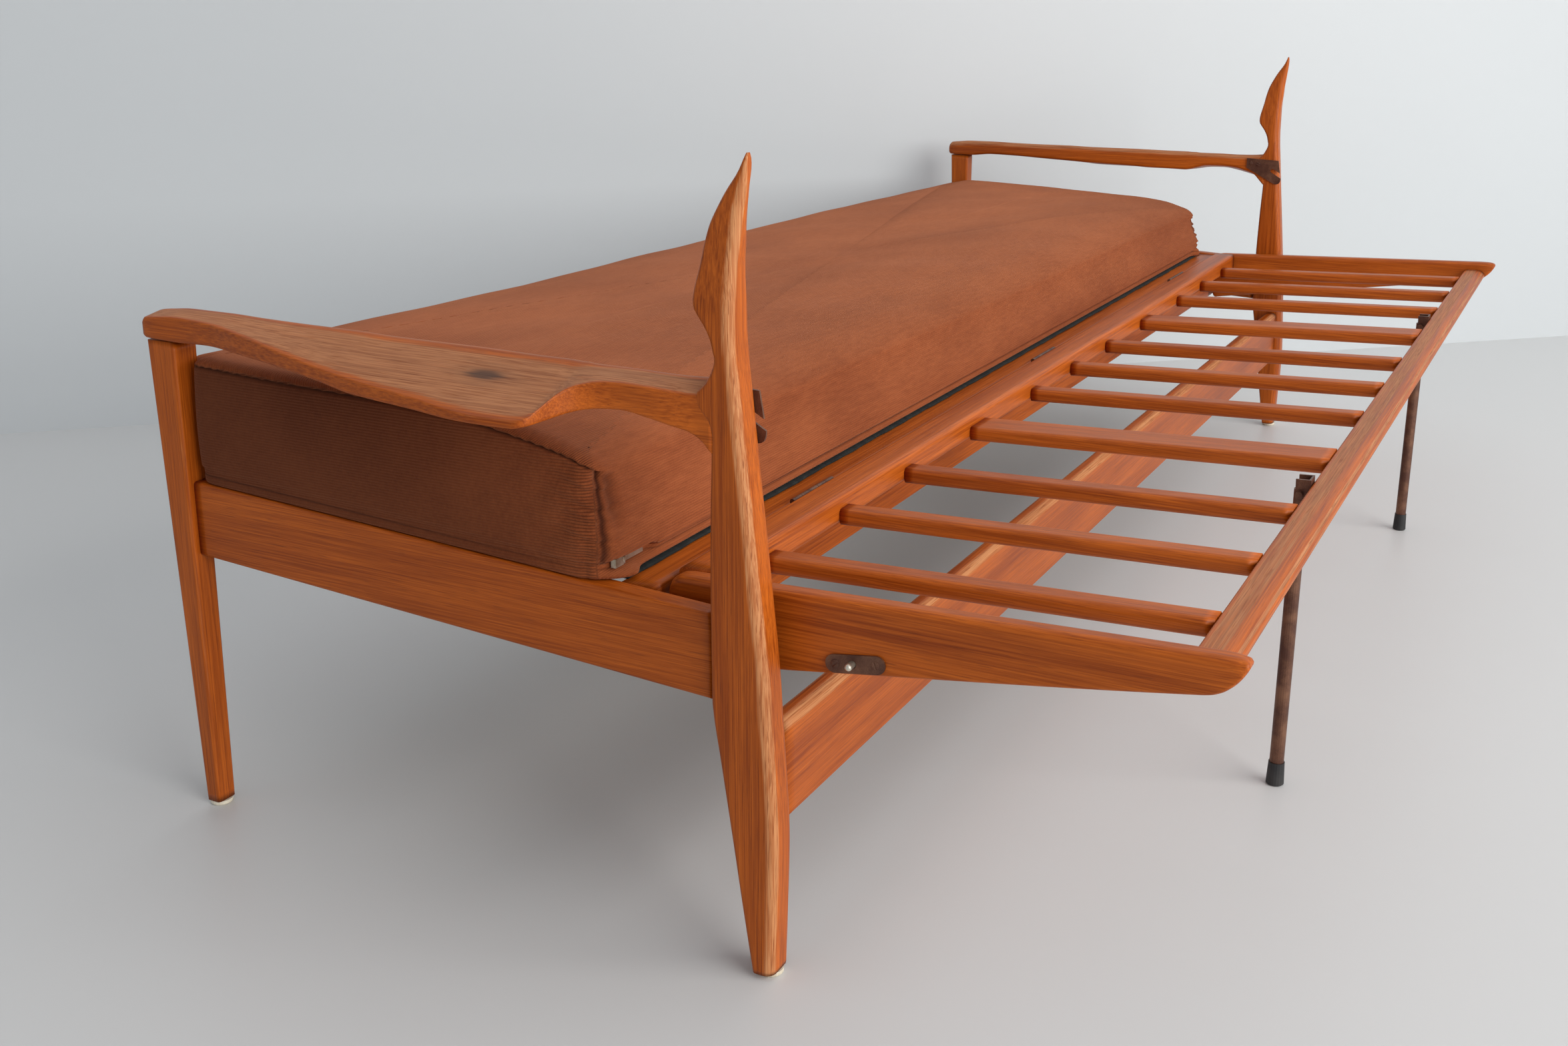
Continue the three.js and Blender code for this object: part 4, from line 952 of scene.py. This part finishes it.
def mattressPiece():
    # rings about the middle: the plan grown or shrunk by a swell or a scale, whose height is
    # bottom + share * (top - bottom) + lift; seams are grooves, with puckers fading beside them
    m = mattressForm
    core, out, turn = mattressPlan()
    middle = np.array([(m["right"] + m["left"]) / 2, (m["front"] + m["rear"]) / 2])
    edge = core + out * m["corner"]
    stepLength = np.linalg.norm(np.roll(edge, -1, 0) - edge, axis=1)
    along = np.concatenate([[0], np.cumsum(stepLength)[:-1]])
    around = stepLength.sum()
    seams = []
    for place, share in zip(np.flatnonzero(turn == 0), m["seamPlaces"]):
        corner = along[place : place + m["cornerPoints"]]
        seams.append(corner[0] + share * (corner[-1] - corner[0]))
    # distances around from the nearest seam, and where the ends and the rear are
    apart = np.min([abs((along - seam + around / 2) % around - around / 2) for seam in seams], 0)
    endness = smooth(abs(out[:, 0]), *m["endTurn"])
    rearness = smooth(out[:, 1], *m["rearTurn"])
    fromEnds = np.minimum(middle[0] + edge[:, 0] - m["left"], m["right"] - middle[0] - edge[:, 0])
    softness = rearness * (1 - np.exp(-np.clip(fromEnds, 0, None) / m["drape"]["fromEnds"]))
    phase = sum(depth * np.sin(along / length + start) for depth, length, start in m["drift"])
    groove = bell(apart, 0, m["seam"]["width"])
    hollow = bell(apart, m["hollow"]["from"], m["hollow"]["reach"]) * (1 - endness)
    ear = m["ear"]["depth"] * bell(apart, m["ear"]["from"], m["ear"]["reach"]) * rearness
    tuck = m["tuck"]["depth"] * bell(apart, 0, m["tuck"]["reach"])
    nearZip = smooth(abs(edge[:, 0] + middle[0] - m["zip"]["x"]), *m["zip"]["alongFade"]) * rearness
    rows, shades = [], []

    def row(swell, share, lift=0.0, scale=1.0, dark=0.0):
        height = share * m["height"] + lift
        # the rear's foot bulges, but lies back behind the zip's slider
        foot = m["rearBulge"]["depth"] * rearness * smooth(height, *m["rearBulge"]["over"])
        foot = (foot + ear * smooth(height, *m["ear"]["over"])) * smooth(height, *m["footEdge"])
        foot = foot - tuck * smooth(height, *m["tuck"]["over"])
        zipZone = nearZip * smooth(abs(height - m["zip"]["rise"]), *m["zip"]["upFade"])
        swell = (swell + foot) * (1 - zipZone) + m["zip"]["swell"] * zipZone
        plan = (core + out * (m["corner"] + np.reshape(swell, (-1, 1)))) * scale + middle
        x, y = plan[:, 0], plan[:, 1]
        low = mattressBottomAt(y)
        z = low + share * (mattressTopAt(x, y) - low) + lift
        rows.append(np.stack([x, y, z], -1))
        shades.append(np.broadcast_to(dark, len(x)))

    # the underside, then the foot with its round edge and the lower seam round ends and rear
    for scale in m["underScales"]:
        row(m["foot"][0][0], 0, scale=scale)
    lowSeam = np.maximum(0.5 * endness, rearness)
    for swell, lift in m["foot"][1:]:
        # the lower seam's ring is drawn in and given painted shade
        seam = lowSeam * (lift == m["lowSeam"]["rise"])
        row(swell - m["lowSeam"]["depth"] * seam, 0, lift, dark=m["lowSeam"]["shade"] * seam)
    # the sides, with puckers and ripples beside the seams and a hollow on the rear's side of them
    pucker, ripple, dimple, drape = (m[key] for key in ("pucker", "ripple", "dimple", "drape"))
    for share in m["sides"]:
        height = share * m["height"]
        power = m["belly"]["power"]
        swell = m["belly"]["depth"] * np.sin(np.pi * share**power) ** power
        turns = 2 * np.pi * height / pucker["pitch"]
        wave = np.sin(turns + phase)
        wave += pucker["second"] * np.sin(turns * pucker["faster"] + 2 * phase)
        near = np.exp(-apart / pucker["reach"]) * smooth(share, *m["puckersOver"])
        swell = swell + pucker["depth"] * wave * near - m["seam"]["depth"] * groove
        rise, fall = m["hollow"]["over"]
        swell = swell - m["hollow"]["depth"] * hollow * smooth(share, *rise) * smooth(share, *fall)
        wave = np.sin(2 * np.pi * (height / ripple["rise"] + apart / ripple["along"]))
        swell = swell + ripple["depth"] * endness * np.exp(-apart / ripple["fade"]) * wave
        swell = swell - softness * drape["depth"] * smooth(share, *drape["over"]) ** drape["power"]
        pressed = dimple["depth"] * bell(apart, 0, dimple["reach"]) * smooth(share, *dimple["over"])
        # painted shade in the hollow beside each seam and in the seam's groove
        rise, fall = m["hollowShade"]["over"]
        dark = m["hollowShade"]["most"] * hollow * smooth(share, *rise) * smooth(share, *fall)
        row(swell - pressed, share, dark=np.clip(m["seam"]["shade"] * groove + dark, 0, 1))
    # the upper seam, the round upper edge and the top
    start = -drape["depth"] * softness
    # painted shade along the upper seam round the ends
    topDark = m["topSeam"]["shade"] * endness
    row(start - m["seam"]["depth"] * endness, 1, m["topSeam"]["rise"], dark=topDark)
    inset = m["edgeInset"] + m["softInset"] * softness
    for turnShare in np.linspace(*m["edgeTurns"]):
        angle = turnShare * np.pi / 2
        gather = m["gather"]["depth"] * np.sin(2 * np.pi * along / m["gather"]["pitch"] + phase)
        gather = gather * endness * np.exp(-m["gather"]["fade"] * turnShare)
        row(start - inset * (1 - np.cos(angle)), 1, m["edgeRise"] * np.sin(angle) + gather)
    count, crowding, least = m["scales"]
    for scale in (*(1 - np.linspace(0, 1, count)[1:-1] ** crowding), least):
        row(start - inset, 1, m["edgeRise"], scale)
    rings, dark = np.array(rows), np.array(shades)
    # faint slanting creases and hollows over the top: sines whose lengths are in millimetres
    x, y = rings[..., 0], rings[..., 1]
    high = smooth(rings[..., 2] - mattressBottomAt(y), *m["slack"]["over"])
    hollows, slopes, creases = m["slack"]["depths"]
    slack = hollows * np.sin(x / 83 + y / 47 + 1.3 * np.sin(x / 190)) * np.sin(y / 71 - x / 260)
    slack += slopes * np.sin(x / 210 - y / 90 + 0.6)
    slack += creases * np.sin(x / 31 + y / 22 + np.sin(y / 60))
    rings[..., 2] += slack * high
    points = inPlace(rings)
    side = rings[..., 2] - mattressTopAt(x, y) < m["topMargin"]
    onEndSide = (endness > 0.5) & side
    fromMiddle = abs(y - middle[1]) / 1000
    wale = np.where(onEndSide, points[..., 2], points[..., 2] - fromMiddle)
    # painted shade over the ends' sides, deepening away from the corner seams
    fromSeam = 1 - np.exp(-apart / m["endShade"]["reach"])
    dark = dark + np.where(onEndSide, m["endShade"]["most"] * fromSeam, 0)
    least = m["ribbed"]["least"]
    ribbed = least + (1 - least) * np.exp(-apart / m["ribbed"]["reach"]) * endness
    marks = {
        "wale": wale.reshape(-1, 1),
        "shade": np.clip(dark, 0, m["darkest"]).reshape(-1, 1),
        "ribbed": np.broadcast_to(ribbed, dark.shape).reshape(-1, 1),
    }
    return makeMesh("mattress_cover", points, closedFaces(rings), cloth, marks)


mattress = mattressPiece()
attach(mattress, "mattress")
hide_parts("mattress")
print("mattress made")

pad = {
    "half": 1010,
    "front": -677,
    "back": -160.3,
    "thickness": 2.6,
    "rise": -2.65,
    "radius": 0.9,
    "stations": 420,
    "waves": ((0.5, 21, 0), (0.3, 7.3, 1)),  # each wave's depth, length over 2 pi, and phase
}


def padRings():
    # a felt pad lengthwise: an oblong section whose back edge wavers by the sum of two sines
    x = np.linspace(-pad["half"], pad["half"], pad["stations"])
    waves = [depth * np.sin(x / length + phase) for depth, length, phase in pad["waves"]]
    back = pad["back"] + sum(waves)
    front = np.full_like(x, pad["front"])
    corners = np.stack([front, back, back, front], -1)
    up = np.array([0, 0, 1, 1]) * pad["thickness"] + pad["rise"]
    outline = rounded(np.stack([corners, seatTopAt(corners) + up], -1), pad["radius"])
    return np.concatenate([np.broadcast_to(x[:, None, None], outline[..., :1].shape), outline], -1)


rings = padRings()
felt = makeMesh("underlay_felt", inPlace(rings), closedFaces(rings), plain["underlay"])
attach(felt, "frame")
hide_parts("seat_underlay")

finishes = {
    "brownSteel": ("hook_plate", "catch_plate", "leg_bracket", "leg_tube", "hinge_"),
    "paleSteel": ("catch_stud", "zip_slider", "zip_pull"),
    "rubber": ("leg_foot",),
    "nylon": ("front_glide", "back_glide"),
    "deckWood": ("seat_slat", "seat_ledger"),
}
for finish, starts in finishes.items():
    for name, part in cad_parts.items():
        if name.startswith(starts):
            for place in part.material_slots:
                place.material = plain[finish]

screw = {
    "radius": 3.7,
    "rings": (0, 0.25, 0.45, 0.62, 0.76, 0.88, 0.96, 1.0, 1.0),
    "points": 40,
    "dome": 0.9,
    "roundness": 0.75,
    "slotDepth": 0.55,
    "slotEdge": (0.24, 0.12),
    "sunk": 0.3,
}


def screwHead(name, place, facing, slotTurn, body):
    # a low dome about X, as high as the root of 1 - r^2, with a straight slot pressed into it
    r = np.array(screw["rings"])[:, None]
    turn = np.linspace(0, 2 * np.pi, screw["points"], endpoint=False)[None]
    y, z = r * np.cos(turn), r * np.sin(turn)
    slotted = smooth(abs(y * np.sin(slotTurn) + z * np.cos(slotTurn)), *screw["slotEdge"])
    height = screw["dome"] * np.sqrt(1 - screw["roundness"] * r**2) - screw["slotDepth"] * slotted
    height[-1] = -screw["sunk"]
    local = np.stack([height * facing, y * screw["radius"], z * screw["radius"]], -1) / 1000
    head = makeMesh(name, local + place, closedFaces(local), plain["brownSteel"])
    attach(head, body)


catch = {"place": 0.37, "face": 1004.3, "rise": 10.6, "reaches": (-18, 18), "turns": (2.4, 4.3)}
# from the low corner of the hook plate's box, in metres
hook = {"places": ((0.008, 0.0369), (0.021, 0.0359)), "turns": (2.2, 3.5)}
# the end rails' bottom is straight between these two rows
start, end = back["shares"][4:6]
slope = (end[2] - start[2]) / (end[0] - start[0])
catchDrop = (start[2] + slope * (catch["place"] - start[0])) * back["drop"]
slope *= back["drop"] / back["depth"]
for side, sign in sides:
    for number, (reach, turn) in enumerate(zip(catch["reaches"], catch["turns"]), 1):
        y = catch["place"] * back["depth"] + reach
        z = back["rise"] - catchDrop + catch["rise"] - reach * slope
        place = inBack((sign * catch["face"], y, z))
        screwHead(f"catch_screw_{side}_{number}", place, sign, turn, "back")
    low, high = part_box(f"hook_plate_{side}")
    face = low[0] if sign > 0 else high[0]
    for number, ((y, z), turn) in enumerate(zip(hook["places"], hook["turns"]), 1):
        place = (face, low[1] + y, low[2] + z)
        screwHead(f"hook_screw_{side}_{number}", place, -sign, turn, "frame")
print("hardware finished")

camera = {
    "place": (2.0948, 0.7255, 0.8148),
    "right": (-0.47778, 0.87847, -0.00403),
    "down": (0.24166, 0.12702, -0.96201),
    "ahead": (-0.84459, -0.4606, -0.27298),
    "lens": 36.571,
    "shift": (0.01458, -0.0485),
}


def aim(thing, right, up, behind, place):
    turned = np.eye(4)
    turned[:3] = np.array([right, up, behind, place]).T
    thing.matrix_world = Matrix(turned.tolist())


cameraData = bpy.data.cameras.new("camera")
cameraData.sensor_width = 36
cameraData.lens = camera["lens"]
cameraData.shift_x, cameraData.shift_y = camera["shift"]
viewer = bpy.data.objects.new("camera", cameraData)
scene.collection.objects.link(viewer)
aim(viewer, camera["right"], -np.array(camera["down"]), -np.array(camera["ahead"]), camera["place"])
scene.camera = viewer

room = {
    "wallPoint": (-1.9515, 0.3221),
    "wallAlong": (-0.6757, 0.7372),
    "wallHeight": 5.0,
    "reach": 9,
    "floor": linear(205, 205, 204),
    "wall": linear(198, 202, 204),
    "clouds": (0.9, 3, 0.5),
    "paler": 1.05,
    "roughness": 0.45,
    "sky": (0.92, 0.95, 1.0, 1),
    "skyStrength": 0.5,
}


def stagePlane(name, corners, colour):
    material, tree, shader = newMaterial(name)
    clouds = noise(tree, put(tree, "TexCoord").outputs["Object"], *room["clouds"])
    pale = tuple(min(1, c * room["paler"]) for c in colour[:3]) + (1,)
    tree.links.new(blended(tree, clouds, colour, pale), shader.inputs["Base Color"])
    shader.inputs["Roughness"].default_value = room["roughness"]
    plane = makeMesh(name, corners, [[0, 1, 2, 3]], material)


reach = room["reach"]
floorCorners = [(-reach, -reach, 0), (reach, -reach, 0), (reach, reach, 0), (-reach, reach, 0)]
stagePlane("floor", floorCorners, room["floor"])
wallPoint = np.array([*room["wallPoint"], 0.0])
along = np.array([*room["wallAlong"], 0.0]) * reach
up = np.array([0, 0, room["wallHeight"]])
wallCorners = [wallPoint - along, wallPoint + along, wallPoint + along + up, wallPoint - along + up]
stagePlane("wall", wallCorners, room["wall"])

lights = {
    "window": {
        "place": (1.1, 4.8, 2.1),
        "target": (0.1, 0, 0.2),
        "size": (5.4, 3.2),
        "power": 280,
        "colour": (1.0, 0.98, 0.95),
    },
    "above": {
        "place": (-0.8, 0.2, 4.2),
        "target": (-0.2, 0, 0),
        "size": (5, 5),
        "power": 50,
        "colour": (0.94, 0.97, 1.0),
    },
}
for name, light in lights.items():
    data = bpy.data.lights.new(name, "AREA")
    data.shape = "RECTANGLE"
    data.size, data.size_y = light["size"]
    data.energy = light["power"]
    data.color = light["colour"]
    lamp = bpy.data.objects.new(name, data)
    scene.collection.objects.link(lamp)
    ahead = np.array(light["target"], float) - light["place"]
    ahead /= np.linalg.norm(ahead)
    right = np.cross(ahead, (0, 0, 1))
    right /= np.linalg.norm(right)
    aim(lamp, right, np.cross(right, ahead), -ahead, light["place"])

world = bpy.data.worlds.new("room")
world.use_nodes = True
sky = world.node_tree.nodes["Background"]
sky.inputs[0].default_value = room["sky"]
sky.inputs[1].default_value = room["skyStrength"]
scene.world = world
scene.view_settings.view_transform = "Standard"
print("camera, room and lights placed")
